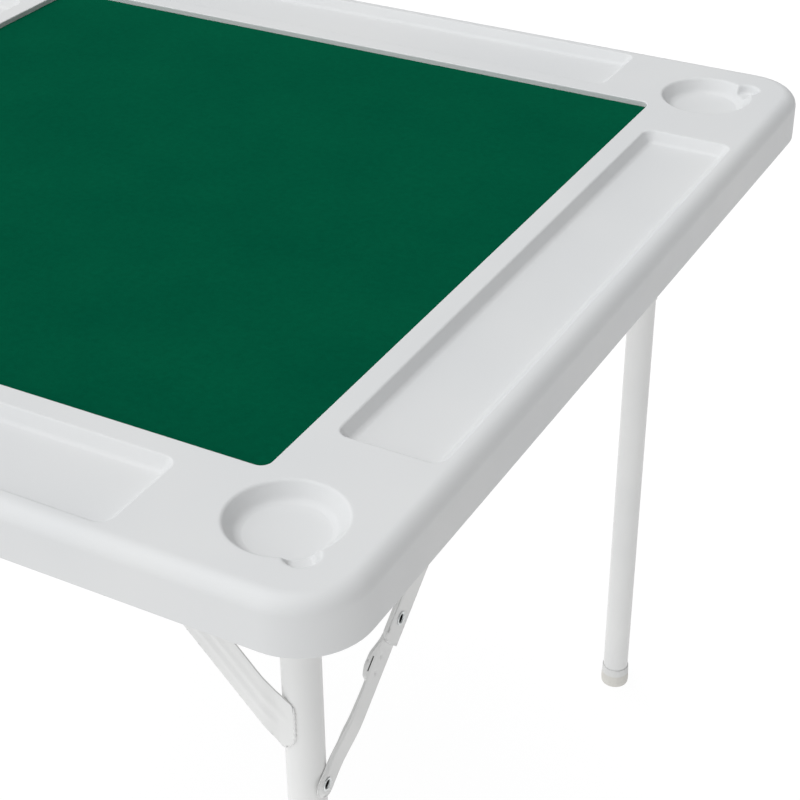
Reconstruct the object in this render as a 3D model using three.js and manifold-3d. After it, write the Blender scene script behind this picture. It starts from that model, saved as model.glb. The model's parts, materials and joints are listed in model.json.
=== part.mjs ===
// A square folding card table: blow-moulded plastic top with a felt playing field,
// four trays and four cup holders, carried by two folding tubular steel leg frames.
// Millimetres, +Z up. The origin is on the floor under the middle of the top.
// +X is right, -Y is the front, and the front leg frame is the wider one.

import * as THREE from 'three';
import { mergeVertices } from 'three/addons/utils/BufferGeometryUtils.js';
import Module from 'manifold-3d';

const wasm = await Module();
wasm.setup();

// ---------------------------------------------------------------- driving dimensions

const GAP = 0.3; // left between pieces that touch

// Top
const TOP_HALF = 440;
const TOP_HEIGHT = 725;
const TOP_CORNER_RADIUS = 50;
const TOP_EDGE_FILLET = 12;
const SKIRT_BOTTOM = 683;
const SKIRT_THICKNESS = 18;
const UNDERSIDE = 709.2;

// Felt field
const FIELD_HALF = 325.7;
const FIELD_CORNER_RADIUS = 8;
const FELT_TOP = 720.6;
const FELT_THICKNESS = 1.6;

// Trays along the four sides
const TRAY_CENTRE = 384.25;
const TRAY_HALF_WIDTH = 39.75;
const TRAY_HALF_LENGTH = 271.5;
const TRAY_CORNER_RADIUS = 10;
const TRAY_DEPTH = 9;
const TRAY_WALL_SLOPE = 7;

// Cup holders near the four corners, each with a finger scallop on its outer diagonal
const CUP_CENTRE = 365;
const CUP_RADIUS = 40;
const CUP_DEPTH = 11.5;
const CUP_WALL_SLOPE = 8;
const SCALLOP_RADIUS = 11.5;
const SCALLOP_DEPTH = 7;
const SCALLOP_WALL_SLOPE = 4;

// Leg frames
const FRONT_LEG_X = 373;
const REAR_LEG_X = 317;
const TUBE_RADIUS = 13.5;
const TUBE_WALL = 1.2;
const PIVOT_Y = -368.5;
const PIVOT_Z = 693.5;
const CROSS_TUBE_HALF = 399.9;
const PLUG_INNER_END = 376;
const PLUG_FLANGE_START = 400.2;
const PLUG_OUTER_END = 401.6;

// Foot caps
const FOOT_RADIUS = 15.2;
const FOOT_LIP_HEIGHT = 2;
const FOOT_SHOULDER_RADIUS = 14.5;
const FOOT_SHOULDER_HEIGHT = 22;
const FOOT_HEIGHT = 24;
const FOOT_FLOOR = 4;

// Side rails under the top, which carry both cross tubes
const RAIL_INNER_X = 402;
const RAIL_WIDTH = 16;
const RAIL_WALL = 1.6;
const RAIL_HALF_LENGTH = 400;
const RAIL_BOTTOM = 685.5;
const RAIL_TOP = UNDERSIDE - GAP;

// Pivot bolts, which join a cross tube's end plugs to the rails
const BOLT_RADIUS = 4;
const BOLT_HEAD_RADIUS = 7;
const BOLT_HEAD_THICKNESS = 3;
const BOLT_TIP_X = 380;

// Screws
const SCREW_RADIUS = 2.2;
const SCREW_HEAD_RADIUS = 4.5;
const SCREW_HEAD_THICKNESS = 1.9;
const SCREW_TIP = 714;
const SCREW_CLEARANCE = 0.4;
const RAIL_SCREW_Y = [-300, 0, 300];

// Gussets between leg and cross tube, on the outer face of the frame
const GUSSET_THICKNESS = 1.5;
const GUSSET_STAND_OFF = 2.3; // from the tubes' tangent plane, so that stowed feet pass
const GUSSET_TIP_Z = 548;
const GUSSET_SADDLE_TOP_Z = 588;
const GUSSET_CROSS_Z = 700;
const GUSSET_SLOPE = Math.tan(THREE.MathUtils.degToRad(47.3));
const GUSSET_WIDTH = 29;
const SADDLE_HALF = 8;
const SADDLE_DEPTH = 11;

// Folding struts. The pair is straight when the legs are down, and doubles back when they
// are stowed. Both link lengths follow from where the strut meets the leg and the rail.
const STRUT_DROP = 180; // from the frame pivot down the leg
const STRUT_REACH = 226; // from the frame pivot along the rail
const STRUT_SPAN = Math.hypot(STRUT_DROP, STRUT_REACH);
const LOWER_LINK_LENGTH = (STRUT_SPAN - (STRUT_REACH - STRUT_DROP)) / 2;
const UPPER_LINK_LENGTH = STRUT_SPAN - LOWER_LINK_LENGTH;
const STRUT_ANGLE = Math.atan2(STRUT_DROP, STRUT_REACH);
const LINK_THICKNESS = 2;
const LOWER_LINK_HALF_WIDTH = 10.3;
const LOWER_LINK_SHIFT = -1.3; // the link's middle, above the line through its rivets
const LOWER_LINK_OFFSET_AT_LEG = TUBE_RADIUS + GAP; // sideways from the leg's axis
const LOWER_LINK_OFFSET = LOWER_LINK_OFFSET_AT_LEG + 3;
const JOGGLE_START = 108; // distances down the lower link from the elbow
const JOGGLE_END = 74;
const BULGE_START = 51;
const BULGE_END = 21;
const BULGE_HEIGHT = 4;
const BULGE_ROUNDING = 4;
const UPPER_LINK_OFFSET = LOWER_LINK_OFFSET + LINK_THICKNESS + GAP;
const UPPER_LINK_HALF_WIDTH = 10.4;
const UPPER_LINK_SHIFT = 1.6; // the web's middle, above the line through its rivets
const UPPER_LINK_TAIL = 18; // past the elbow rivet
const FLANGE_THICKNESS = 1.5;
const FLANGE_INNER_OFFSET = LOWER_LINK_OFFSET + GAP;
const FLANGE_TAIL = 14.6;
const FLANGE_HEAD = 153;
const RIVET_HOLE_RADIUS = 3.9;
const RIVET_RADIUS = 3.6;
const RIVET_HEAD_RADIUS = 5;
const RIVET_HEAD_THICKNESS = 0.9;
const RIVET_BORE_RADIUS = 2.6;
const PIN_RADIUS = 3.2;
const PIN_HOLE_RADIUS = 3.5;
const PIN_HEAD_RADIUS = 6;
const PIN_HEAD_THICKNESS = 1.7;
const PIN_COLLAR_RADIUS = 7;
const PIN_TAIL_RADIUS = 5.5;
const RAIL_OFFSET = RAIL_INNER_X - FRONT_LEG_X; // sideways from the leg's axis

// Brackets that carry the rear struts, because the rear legs stand clear of the rails
const BRACKET_THICKNESS = 2;
const BRACKET_HALF_LENGTH = 25;
const BRACKET_BOTTOM = 682;
const BRACKET_FLANGE_WIDTH = 12.5;
const BRACKET_SCREW_SPACING = 36;
const BRACKET_SCREW_TIP = 713;
const BRACKET_SCREW_RADIUS = 1.6;
const BRACKET_SCREW_HEAD_RADIUS = 3.2;
const BRACKET_SCREW_INSET = 7.25; // from the bracket's inner face

// Roundness. A circle drawn as a shape gets two sides for each step.
const TUBE_SIDES = 20;
const SMALL_SIDES = 10;
const CUP_STEPS = 14;
const SCALLOP_STEPS = 7;
const CORNER_STEPS = 4;
const HOLE_SIDES = 8;
const HEAD_TAPER = 0.8; // a fastener head's outer radius against its seat

// ---------------------------------------------------------------- materials

const material = (color, roughness, metalness) =>
  new THREE.MeshStandardMaterial({ color, roughness, metalness, flatShading: true });

const WHITE_PLASTIC = material(0xdedfe1, 0.5, 0);
const GREEN_FELT = material(0x00503a, 0.95, 0);
const WHITE_STEEL = material(0xd9d9d8, 0.4, 0.1);
const GREY_RUBBER = material(0xc5c4c0, 0.7, 0);
const ZINC_STEEL = material(0xb9bfc0, 0.35, 0.9);
const BLACK_NYLON = material(0x2b2b2d, 0.6, 0);

// ---------------------------------------------------------------- geometry helpers

/** Keeps only positions and shared vertices, as a closed mesh needs. */
function bare(geometry) {
  geometry.deleteAttribute('normal');
  geometry.deleteAttribute('uv');
  return mergeVertices(geometry, 1e-4);
}

function toSolid(geometry) {
  const mesh = bare(geometry);
  return new wasm.Manifold(new wasm.Mesh({
    numProp: 3,
    vertProperties: new Float32Array(mesh.attributes.position.array),
    triVerts: new Uint32Array(mesh.index.array),
  }));
}

function toGeometry(solid) {
  const mesh = solid.getMesh();
  const geometry = new THREE.BufferGeometry();
  geometry.setAttribute('position', new THREE.BufferAttribute(mesh.vertProperties, 3));
  geometry.setIndex(new THREE.BufferAttribute(mesh.triVerts, 1));
  return geometry;
}

/** Cuts every tool out of a body, all given as geometries. */
function cut(body, tools) {
  return toGeometry(tools.reduce((solid, tool) => solid.subtract(toSolid(tool)), toSolid(body)));
}

function join(body, additions) {
  return toGeometry(additions.reduce((solid, more) => solid.add(toSolid(more)), toSolid(body)));
}

function common(body, other) {
  return toGeometry(toSolid(body).intersect(toSolid(other)));
}

function roundedRectangle(halfX, halfY, radius) {
  const shape = new THREE.Shape();
  shape.absarc(halfX - radius, halfY - radius, radius, 0, Math.PI / 2);
  shape.absarc(radius - halfX, halfY - radius, radius, Math.PI / 2, Math.PI);
  shape.absarc(radius - halfX, radius - halfY, radius, Math.PI, 1.5 * Math.PI);
  shape.absarc(halfX - radius, radius - halfY, radius, 1.5 * Math.PI, 2 * Math.PI);
  return shape;
}

function polygon(points) {
  return new THREE.Shape(points.map(([x, y]) => new THREE.Vector2(x, y)));
}

/** An outline in the XY plane, extruded from z = low to z = high. */
function slab(shape, low, high, curveSegments = CORNER_STEPS) {
  const geometry = new THREE.ExtrudeGeometry(shape, {
    depth: high - low,
    bevelEnabled: false,
    curveSegments,
  });
  return geometry.translate(0, 0, low);
}

/** A slab whose outline is in the YZ plane, extruded from x = low to x = high. */
function sideSlab(shape, low, high, curveSegments = CORNER_STEPS) {
  const turn = new THREE.Matrix4().makeBasis(
    new THREE.Vector3(0, 1, 0),
    new THREE.Vector3(0, 0, 1),
    new THREE.Vector3(1, 0, 0),
  );
  return slab(shape, low, high, curveSegments).applyMatrix4(turn);
}

/** A slab whose outline is in the XZ plane, extruded from y = low to y = high. */
function frontSlab(shape, low, high, curveSegments = CORNER_STEPS) {
  return slab(shape, -high, -low, curveSegments).rotateX(Math.PI / 2);
}

/** A round rod along X. */
function crossRod(radius, low, high, y, z, sides = SMALL_SIDES) {
  const rod = new THREE.CylinderGeometry(radius, radius, high - low, sides);
  return rod.rotateZ(Math.PI / 2).translate((low + high) / 2, y, z);
}

/** A round rod along Z. */
function uprightRod(radius, low, high, x, y, sides = SMALL_SIDES) {
  const rod = new THREE.CylinderGeometry(radius, radius, high - low, sides);
  return rod.rotateX(Math.PI / 2).translate(x, y, (low + high) / 2);
}

/** A turned piece about Z, from [radius, height] points. */
function turned(points, sides = TUBE_SIDES) {
  const profile = points.map(([radius, height]) => new THREE.Vector2(radius, height));
  return new THREE.LatheGeometry(profile, sides).rotateX(Math.PI / 2);
}

/** A turned piece about an X-parallel axis, from [radius, x] points. */
function turnedAcross(points, y, z, sides = SMALL_SIDES) {
  return turned(points, sides).rotateY(Math.PI / 2).translate(0, y, z);
}

/** A pocket cutter: full size at the mouth, and smaller by slope at the floor. */
function pocket(shape, depth, slope, rounding, curveSegments = CORNER_STEPS) {
  const geometry = new THREE.ExtrudeGeometry(shape, {
    depth: TOP_EDGE_FILLET,
    bevelThickness: depth,
    bevelSize: slope,
    bevelOffset: -slope,
    bevelSegments: rounding,
    curveSegments,
  });
  return geometry.translate(0, 0, TOP_HEIGHT);
}

function circle(radius) {
  const shape = new THREE.Shape();
  shape.absarc(0, 0, radius, 0, 2 * Math.PI);
  return shape;
}

function ringShape(outer, inner) {
  const shape = circle(outer);
  const hole = new THREE.Path();
  hole.absarc(0, 0, inner, 0, 2 * Math.PI);
  shape.holes.push(hole);
  return shape;
}

// ---------------------------------------------------------------- the table and its corners

const table = new THREE.Group();

/** Adds one named piece. */
function add(name, geometry, finish) {
  const shape = bare(geometry);
  shape.computeVertexNormals();
  const mesh = new THREE.Mesh(shape, finish);
  mesh.name = name;
  table.add(mesh);
}

const SIDES = [{ name: 'left', sign: -1 }, { name: 'right', sign: 1 }];
const ENDS = [
  { name: 'front', sign: 1, legX: FRONT_LEG_X },
  { name: 'rear', sign: -1, legX: REAR_LEG_X },
];

/** Mirrors a piece made for the front right, keeping its faces pointing out. */
function mirrored(geometry, sideSign, endSign) {
  const copy = bare(geometry.clone()).scale(sideSign, endSign, 1);
  if (sideSign * endSign < 0) {
    const index = copy.index.array;
    for (let i = 0; i < index.length; i += 3) {
      [index[i], index[i + 1]] = [index[i + 1], index[i]];
    }
  }
  return copy;
}

/** Adds one copy of a piece at each corner. Its X is counted from the leg's axis. */
function addAtCorners(name, makeGeometry, finish) {
  for (const end of ENDS) {
    for (const side of SIDES) {
      const geometry = makeGeometry(end).translate(end.legX, 0, 0);
      add(`${end.name}_${name}_${side.name}`, mirrored(geometry, side.sign, end.sign), finish);
    }
  }
}

// ---------------------------------------------------------------- top

function bracketScrewX() {
  return REAR_LEG_X + RAIL_OFFSET + BRACKET_SCREW_INSET;
}

function screwHoles() {
  const holes = [];
  const radius = SCREW_RADIUS + SCREW_CLEARANCE;
  const x = RAIL_INNER_X + RAIL_WIDTH / 2;
  for (const side of SIDES) {
    for (const y of RAIL_SCREW_Y) {
      holes.push(uprightRod(radius, UNDERSIDE - 1, SCREW_TIP + GAP, side.sign * x, y, HOLE_SIDES));
    }
    for (const y of bracketScrewRows()) {
      const small = BRACKET_SCREW_RADIUS + SCREW_CLEARANCE;
      const tip = BRACKET_SCREW_TIP + GAP;
      const place = side.sign * bracketScrewX();
      holes.push(uprightRod(small, UNDERSIDE - 1, tip, place, y, HOLE_SIDES));
    }
  }
  return holes;
}

function trayCutters() {
  const long = roundedRectangle(TRAY_HALF_LENGTH, TRAY_HALF_WIDTH, TRAY_CORNER_RADIUS);
  const cutters = [];
  for (let turn = 0; turn < 4; turn += 1) {
    const cutter = pocket(long, TRAY_DEPTH, TRAY_WALL_SLOPE, 1, 2);
    cutters.push(cutter.translate(0, -TRAY_CENTRE, 0).rotateZ((turn * Math.PI) / 2));
  }
  return cutters;
}

function cupCutters() {
  const cutters = [];
  const scallopCentre = CUP_CENTRE + CUP_RADIUS / Math.SQRT2;
  for (let turn = 0; turn < 4; turn += 1) {
    const angle = (turn * Math.PI) / 2;
    const cup = pocket(circle(CUP_RADIUS), CUP_DEPTH, CUP_WALL_SLOPE, 2, CUP_STEPS);
    const round = circle(SCALLOP_RADIUS);
    const scallop = pocket(round, SCALLOP_DEPTH, SCALLOP_WALL_SLOPE, 1, SCALLOP_STEPS);
    cutters.push(cup.translate(CUP_CENTRE, CUP_CENTRE, 0).rotateZ(angle));
    cutters.push(scallop.translate(scallopCentre, scallopCentre, 0).rotateZ(angle));
  }
  return cutters;
}

function tabletopGeometry() {
  const outline = roundedRectangle(TOP_HALF, TOP_HALF, TOP_CORNER_RADIUS);
  const body = new THREE.ExtrudeGeometry(outline, {
    depth: TOP_HEIGHT - SKIRT_BOTTOM,
    bevelThickness: TOP_EDGE_FILLET,
    bevelSize: TOP_EDGE_FILLET,
    bevelOffset: -TOP_EDGE_FILLET,
    bevelSegments: 3,
    curveSegments: CORNER_STEPS,
  }).translate(0, 0, SKIRT_BOTTOM - TOP_EDGE_FILLET);
  const hollowHalf = TOP_HALF - SKIRT_THICKNESS;
  const hollowRadius = TOP_CORNER_RADIUS - SKIRT_THICKNESS;
  const hollow = roundedRectangle(hollowHalf, hollowHalf, hollowRadius);
  const below = SKIRT_BOTTOM - 3 * TOP_EDGE_FILLET;
  const field = roundedRectangle(FIELD_HALF, FIELD_HALF, FIELD_CORNER_RADIUS);
  const beyond = 2 * TOP_HALF;
  return cut(body, [
    slab(roundedRectangle(beyond, beyond, 1), below, SKIRT_BOTTOM, 1),
    slab(hollow, below, UNDERSIDE),
    slab(field, FELT_TOP - FELT_THICKNESS - GAP, TOP_HEIGHT + 1, 2),
    ...trayCutters(),
    ...cupCutters(),
    ...screwHoles(),
  ]);
}

function feltGeometry() {
  const half = FIELD_HALF - GAP;
  const outline = roundedRectangle(half, half, FIELD_CORNER_RADIUS - GAP);
  return slab(outline, FELT_TOP - FELT_THICKNESS, FELT_TOP, 2);
}

// ---------------------------------------------------------------- rails, brackets, screws

function railGeometry() {
  const high = RAIL_INNER_X + RAIL_WIDTH;
  const section = polygon([
    [RAIL_INNER_X, RAIL_BOTTOM],
    [high, RAIL_BOTTOM],
    [high, RAIL_TOP],
    [RAIL_INNER_X, RAIL_TOP],
  ]);
  section.holes.push(polygon([
    [RAIL_INNER_X + RAIL_WALL, RAIL_BOTTOM + RAIL_WALL],
    [RAIL_INNER_X + RAIL_WALL, RAIL_TOP - RAIL_WALL],
    [high - RAIL_WALL, RAIL_TOP - RAIL_WALL],
    [high - RAIL_WALL, RAIL_BOTTOM + RAIL_WALL],
  ]));
  const holes = [];
  for (const end of ENDS) {
    const y = end.sign * PIVOT_Y;
    holes.push(crossRod(BOLT_RADIUS + GAP, RAIL_INNER_X - 1, high + 1, y, PIVOT_Z));
  }
  const pinY = PIVOT_Y + STRUT_REACH;
  const middle = RAIL_INNER_X + RAIL_WIDTH / 2;
  holes.push(crossRod(PIN_HOLE_RADIUS, RAIL_INNER_X - 1, middle, pinY, PIVOT_Z));
  for (const y of RAIL_SCREW_Y) {
    const radius = SCREW_RADIUS + SCREW_CLEARANCE;
    holes.push(uprightRod(radius, RAIL_BOTTOM - 1, RAIL_TOP + 1, middle, y, HOLE_SIDES));
  }
  return cut(frontSlab(section, -RAIL_HALF_LENGTH, RAIL_HALF_LENGTH), holes);
}

function screwGeometry(radius, headRadius, headBottom, tip) {
  return turned([
    [0, headBottom],
    [headRadius * HEAD_TAPER, headBottom],
    [headRadius, headBottom + SCREW_HEAD_THICKNESS],
    [radius, headBottom + SCREW_HEAD_THICKNESS],
    [radius, tip - radius],
    [0, tip],
  ], SMALL_SIDES);
}

function addRails() {
  for (const side of SIDES) {
    add(`side_rail_${side.name}`, mirrored(railGeometry(), side.sign, 1), WHITE_STEEL);
    RAIL_SCREW_Y.forEach((y, i) => {
      const headBottom = RAIL_BOTTOM - SCREW_HEAD_THICKNESS - GAP;
      const screw = screwGeometry(SCREW_RADIUS, SCREW_HEAD_RADIUS, headBottom, SCREW_TIP);
      const x = side.sign * (RAIL_INNER_X + RAIL_WIDTH / 2);
      add(`rail_screw_${side.name}_${i + 1}`, screw.translate(x, y, 0), ZINC_STEEL);
    });
  }
}

function bracketY() {
  return -(PIVOT_Y + STRUT_REACH);
}

function bracketScrewRows() {
  return [-0.5, 0.5].map((share) => bracketY() + share * BRACKET_SCREW_SPACING);
}

function bracketGeometry() {
  const inner = REAR_LEG_X + RAIL_OFFSET;
  const outer = inner + BRACKET_THICKNESS;
  const section = polygon([
    [inner, BRACKET_BOTTOM],
    [outer, BRACKET_BOTTOM],
    [outer, RAIL_TOP - BRACKET_THICKNESS],
    [inner + BRACKET_FLANGE_WIDTH, RAIL_TOP - BRACKET_THICKNESS],
    [inner + BRACKET_FLANGE_WIDTH, RAIL_TOP],
    [inner, RAIL_TOP],
  ]);
  const low = bracketY() - BRACKET_HALF_LENGTH;
  const high = bracketY() + BRACKET_HALF_LENGTH;
  const holes = [crossRod(PIN_HOLE_RADIUS, inner - 1, outer + 1, bracketY(), PIVOT_Z)];
  for (const y of bracketScrewRows()) {
    const radius = BRACKET_SCREW_RADIUS + SCREW_CLEARANCE;
    const bottom = RAIL_TOP - BRACKET_THICKNESS - 1;
    holes.push(uprightRod(radius, bottom, RAIL_TOP + 1, bracketScrewX(), y, HOLE_SIDES));
  }
  return cut(frontSlab(section, low, high), holes);
}

function addBrackets() {
  const headBottom = RAIL_TOP - BRACKET_THICKNESS - SCREW_HEAD_THICKNESS - GAP;
  for (const side of SIDES) {
    const bracket = mirrored(bracketGeometry(), side.sign, 1);
    add(`strut_bracket_${side.name}`, bracket, WHITE_STEEL);
    bracketScrewRows().forEach((y, i) => {
      const headRadius = BRACKET_SCREW_HEAD_RADIUS;
      const screw = screwGeometry(BRACKET_SCREW_RADIUS, headRadius, headBottom, BRACKET_SCREW_TIP);
      const name = `bracket_screw_${side.name}_${i + 1}`;
      add(name, screw.translate(side.sign * bracketScrewX(), y, 0), ZINC_STEEL);
    });
  }
}

// ---------------------------------------------------------------- leg frames

/** A leg tube about the Z axis through the pivot line, coped round the cross tube. */
function legGeometry() {
  const ring = ringShape(TUBE_RADIUS, TUBE_RADIUS - TUBE_WALL);
  const tube = slab(ring, FOOT_FLOOR + GAP, PIVOT_Z, TUBE_SIDES / 2).translate(0, PIVOT_Y, 0);
  const reach = 2 * TUBE_RADIUS;
  const cope = crossRod(TUBE_RADIUS + GAP, -reach, reach, PIVOT_Y, PIVOT_Z, TUBE_SIDES);
  return cut(tube, [cope]);
}

function crossTubeGeometry(end) {
  const ring = ringShape(TUBE_RADIUS, TUBE_RADIUS - TUBE_WALL);
  const tube = sideSlab(ring, -CROSS_TUBE_HALF, CROSS_TUBE_HALF, TUBE_SIDES / 2);
  return tube.translate(0, end.sign * PIVOT_Y, PIVOT_Z);
}

/** Outline in XZ, with X counted from the leg's axis: a sloping strip from leg to cross tube. */
function gussetOutline() {
  const acrossAtSlope = GUSSET_WIDTH / Math.sin(Math.atan(GUSSET_SLOPE));
  const tipX = -6.5;
  const lowerEdgeX = (z) => tipX - (z - GUSSET_TIP_Z) / GUSSET_SLOPE;
  const upperEdgeX = (z) => lowerEdgeX(z) + acrossAtSlope;
  const wrapX = 1;
  return polygon([
    [tipX, GUSSET_TIP_Z],
    [wrapX, GUSSET_TIP_Z + SADDLE_HALF],
    [wrapX, GUSSET_SADDLE_TOP_Z],
    [upperEdgeX(GUSSET_SADDLE_TOP_Z + SADDLE_HALF), GUSSET_SADDLE_TOP_Z + SADDLE_HALF],
    [upperEdgeX(GUSSET_CROSS_Z), GUSSET_CROSS_Z],
    [lowerEdgeX(GUSSET_CROSS_Z), GUSSET_CROSS_Z],
  ]);
}

function gussetGeometry() {
  const outline = gussetOutline();
  const face = PIVOT_Y - TUBE_RADIUS - GUSSET_STAND_OFF;
  const web = frontSlab(outline, face - GUSSET_THICKNESS, face);
  const filler = frontSlab(outline, face - GUSSET_THICKNESS / 2, face + SADDLE_DEPTH);
  const legZone = frontSlab(polygon([
    [-TUBE_RADIUS, 0],
    [TUBE_RADIUS, 0],
    [TUBE_RADIUS, TOP_HEIGHT],
    [-TUBE_RADIUS, TOP_HEIGHT],
  ]), 3 * PIVOT_Y, 0);
  const crossZone = frontSlab(polygon([
    [-TOP_HALF, PIVOT_Z - SADDLE_HALF],
    [TOP_HALF, PIVOT_Z - SADDLE_HALF],
    [TOP_HALF, TOP_HEIGHT],
    [-TOP_HALF, TOP_HEIGHT],
  ]), 3 * PIVOT_Y, 0);
  const gusset = join(web, [common(filler, legZone), common(filler, crossZone)]);
  const clear = TUBE_RADIUS + GAP;
  return cut(gusset, [
    uprightRod(clear, 0, TOP_HEIGHT, 0, PIVOT_Y, TUBE_SIDES),
    crossRod(clear, -TOP_HALF, TOP_HALF, PIVOT_Y, PIVOT_Z, TUBE_SIDES),
  ]);
}

function footCapGeometry() {
  return turned([
    [0, 0],
    [FOOT_RADIUS, 0],
    [FOOT_RADIUS, FOOT_LIP_HEIGHT],
    [FOOT_SHOULDER_RADIUS, FOOT_SHOULDER_HEIGHT],
    [FOOT_SHOULDER_RADIUS - GAP, FOOT_HEIGHT],
    [TUBE_RADIUS + GAP, FOOT_HEIGHT],
    [TUBE_RADIUS + GAP, FOOT_FLOOR],
    [0, FOOT_FLOOR],
  ], TUBE_SIDES).translate(0, PIVOT_Y, 0);
}

/** The plug in a cross tube's end. Its X is counted from the leg's axis. */
function plugGeometry(end) {
  const bore = BOLT_RADIUS + GAP;
  const body = TUBE_RADIUS - TUBE_WALL - GAP;
  return turnedAcross([
    [bore, PLUG_INNER_END],
    [body, PLUG_INNER_END],
    [body, PLUG_FLANGE_START],
    [TUBE_RADIUS, PLUG_FLANGE_START],
    [TUBE_RADIUS, PLUG_OUTER_END],
    [bore, PLUG_OUTER_END],
    [bore, PLUG_INNER_END],
  ], PIVOT_Y, PIVOT_Z, TUBE_SIDES).translate(-end.legX, 0, 0);
}

/** A pivot bolt: its head is outside the rail, and its shank ends in the plug. */
function pivotBoltGeometry(end) {
  const headStart = RAIL_INNER_X + RAIL_WIDTH + GAP;
  const headEnd = headStart + BOLT_HEAD_THICKNESS;
  return turnedAcross([
    [0, BOLT_TIP_X],
    [BOLT_RADIUS, BOLT_TIP_X + 1],
    [BOLT_RADIUS, headStart],
    [BOLT_HEAD_RADIUS, headStart],
    [BOLT_HEAD_RADIUS * HEAD_TAPER, headEnd],
    [0, headEnd],
  ], PIVOT_Y, PIVOT_Z).translate(-end.legX, 0, 0);
}

// ---------------------------------------------------------------- folding struts

/** Turns a strut piece, drawn along +Y from the elbow, to its place on the strut's line. */
function onStrutLine(geometry) {
  const elbowY = PIVOT_Y + LOWER_LINK_LENGTH * Math.cos(STRUT_ANGLE);
  const elbowZ = PIVOT_Z - STRUT_DROP + LOWER_LINK_LENGTH * Math.sin(STRUT_ANGLE);
  return geometry.rotateX(STRUT_ANGLE).translate(0, elbowY, elbowZ);
}

/** Outline in the strut's own plane: Y runs from the elbow to the rail, Z is its upper edge. */
function lowerLinkOutline() {
  const shape = new THREE.Shape();
  const half = LOWER_LINK_HALF_WIDTH;
  const top = LOWER_LINK_SHIFT + half;
  const crest = top + BULGE_HEIGHT;
  const middle = (BULGE_START + BULGE_END) / 2;
  shape.moveTo(-LOWER_LINK_LENGTH, LOWER_LINK_SHIFT - half);
  shape.lineTo(0, LOWER_LINK_SHIFT - half);
  shape.absarc(0, LOWER_LINK_SHIFT, half, -Math.PI / 2, Math.PI / 2);
  shape.lineTo(-BULGE_END, top);
  shape.quadraticCurveTo(-BULGE_END - BULGE_ROUNDING, crest, -middle, crest);
  shape.quadraticCurveTo(-BULGE_START + BULGE_ROUNDING, crest, -BULGE_START, top);
  shape.lineTo(-LOWER_LINK_LENGTH, top);
  shape.absarc(-LOWER_LINK_LENGTH, LOWER_LINK_SHIFT, half, Math.PI / 2, 1.5 * Math.PI);
  return shape;
}

/** The link's thickness seen from above, as points [along, sideways]. */
function lowerLinkProfile() {
  const near = LOWER_LINK_OFFSET_AT_LEG;
  const far = LOWER_LINK_OFFSET;
  const reach = 2 * LOWER_LINK_LENGTH;
  const inner = [[-reach, near], [-JOGGLE_START, near], [-JOGGLE_END, far], [reach, far]];
  const outer = inner.map(([along, sideways]) => [along, sideways + LINK_THICKNESS]).reverse();
  return polygon([...inner, ...outer].map(([along, sideways]) => [sideways, along]));
}

function lowerLinkGeometry() {
  const outline = sideSlab(lowerLinkOutline(), 0, 2 * LOWER_LINK_OFFSET, 5);
  const sheet = slab(lowerLinkProfile(), -TOP_HALF, TOP_HALF);
  const holes = [0, -LOWER_LINK_LENGTH].map((y) =>
    crossRod(RIVET_HOLE_RADIUS, 0, 2 * LOWER_LINK_OFFSET, y, 0));
  return onStrutLine(cut(common(outline, sheet), holes));
}

function upperLinkGeometry() {
  const half = UPPER_LINK_HALF_WIDTH;
  const bottom = UPPER_LINK_SHIFT - half;
  const bend = UPPER_LINK_SHIFT + half;
  const top = bend + FLANGE_THICKNESS;
  const outline = new THREE.Shape();
  outline.moveTo(-UPPER_LINK_TAIL, bottom);
  outline.lineTo(UPPER_LINK_LENGTH, bottom);
  outline.absarc(UPPER_LINK_LENGTH, UPPER_LINK_SHIFT, half, -Math.PI / 2, Math.PI / 2);
  outline.lineTo(FLANGE_HEAD, bend);
  outline.lineTo(FLANGE_HEAD, top);
  outline.lineTo(-FLANGE_TAIL, top);
  outline.lineTo(-UPPER_LINK_TAIL, bend);
  const web = sideSlab(outline, UPPER_LINK_OFFSET, UPPER_LINK_OFFSET + LINK_THICKNESS, 5);
  const flange = sideSlab(polygon([
    [-FLANGE_TAIL, bend],
    [FLANGE_HEAD, bend],
    [FLANGE_HEAD, top],
    [-FLANGE_TAIL, top],
  ]), FLANGE_INNER_OFFSET, UPPER_LINK_OFFSET + LINK_THICKNESS / 2);
  const reach = 2 * UPPER_LINK_OFFSET;
  const holes = [
    crossRod(RIVET_HOLE_RADIUS, 0, reach, 0, 0),
    crossRod(PIN_HOLE_RADIUS, 0, reach, UPPER_LINK_LENGTH, 0),
  ];
  return onStrutLine(cut(join(web, [flange]), holes));
}

/** The hollow rivet that joins the two links. */
function elbowRivetGeometry() {
  const tailEnd = LOWER_LINK_OFFSET - GAP;
  const tailStart = tailEnd - RIVET_HEAD_THICKNESS;
  const headStart = UPPER_LINK_OFFSET + LINK_THICKNESS + GAP;
  const headEnd = headStart + RIVET_HEAD_THICKNESS;
  return onStrutLine(turnedAcross([
    [RIVET_BORE_RADIUS, tailStart],
    [RIVET_HEAD_RADIUS, tailStart],
    [RIVET_HEAD_RADIUS, tailEnd],
    [RIVET_RADIUS, tailEnd],
    [RIVET_RADIUS, headStart],
    [RIVET_HEAD_RADIUS, headStart],
    [RIVET_HEAD_RADIUS, headEnd],
    [RIVET_BORE_RADIUS, headEnd],
    [RIVET_BORE_RADIUS, tailStart],
  ], 0, 0));
}

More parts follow.
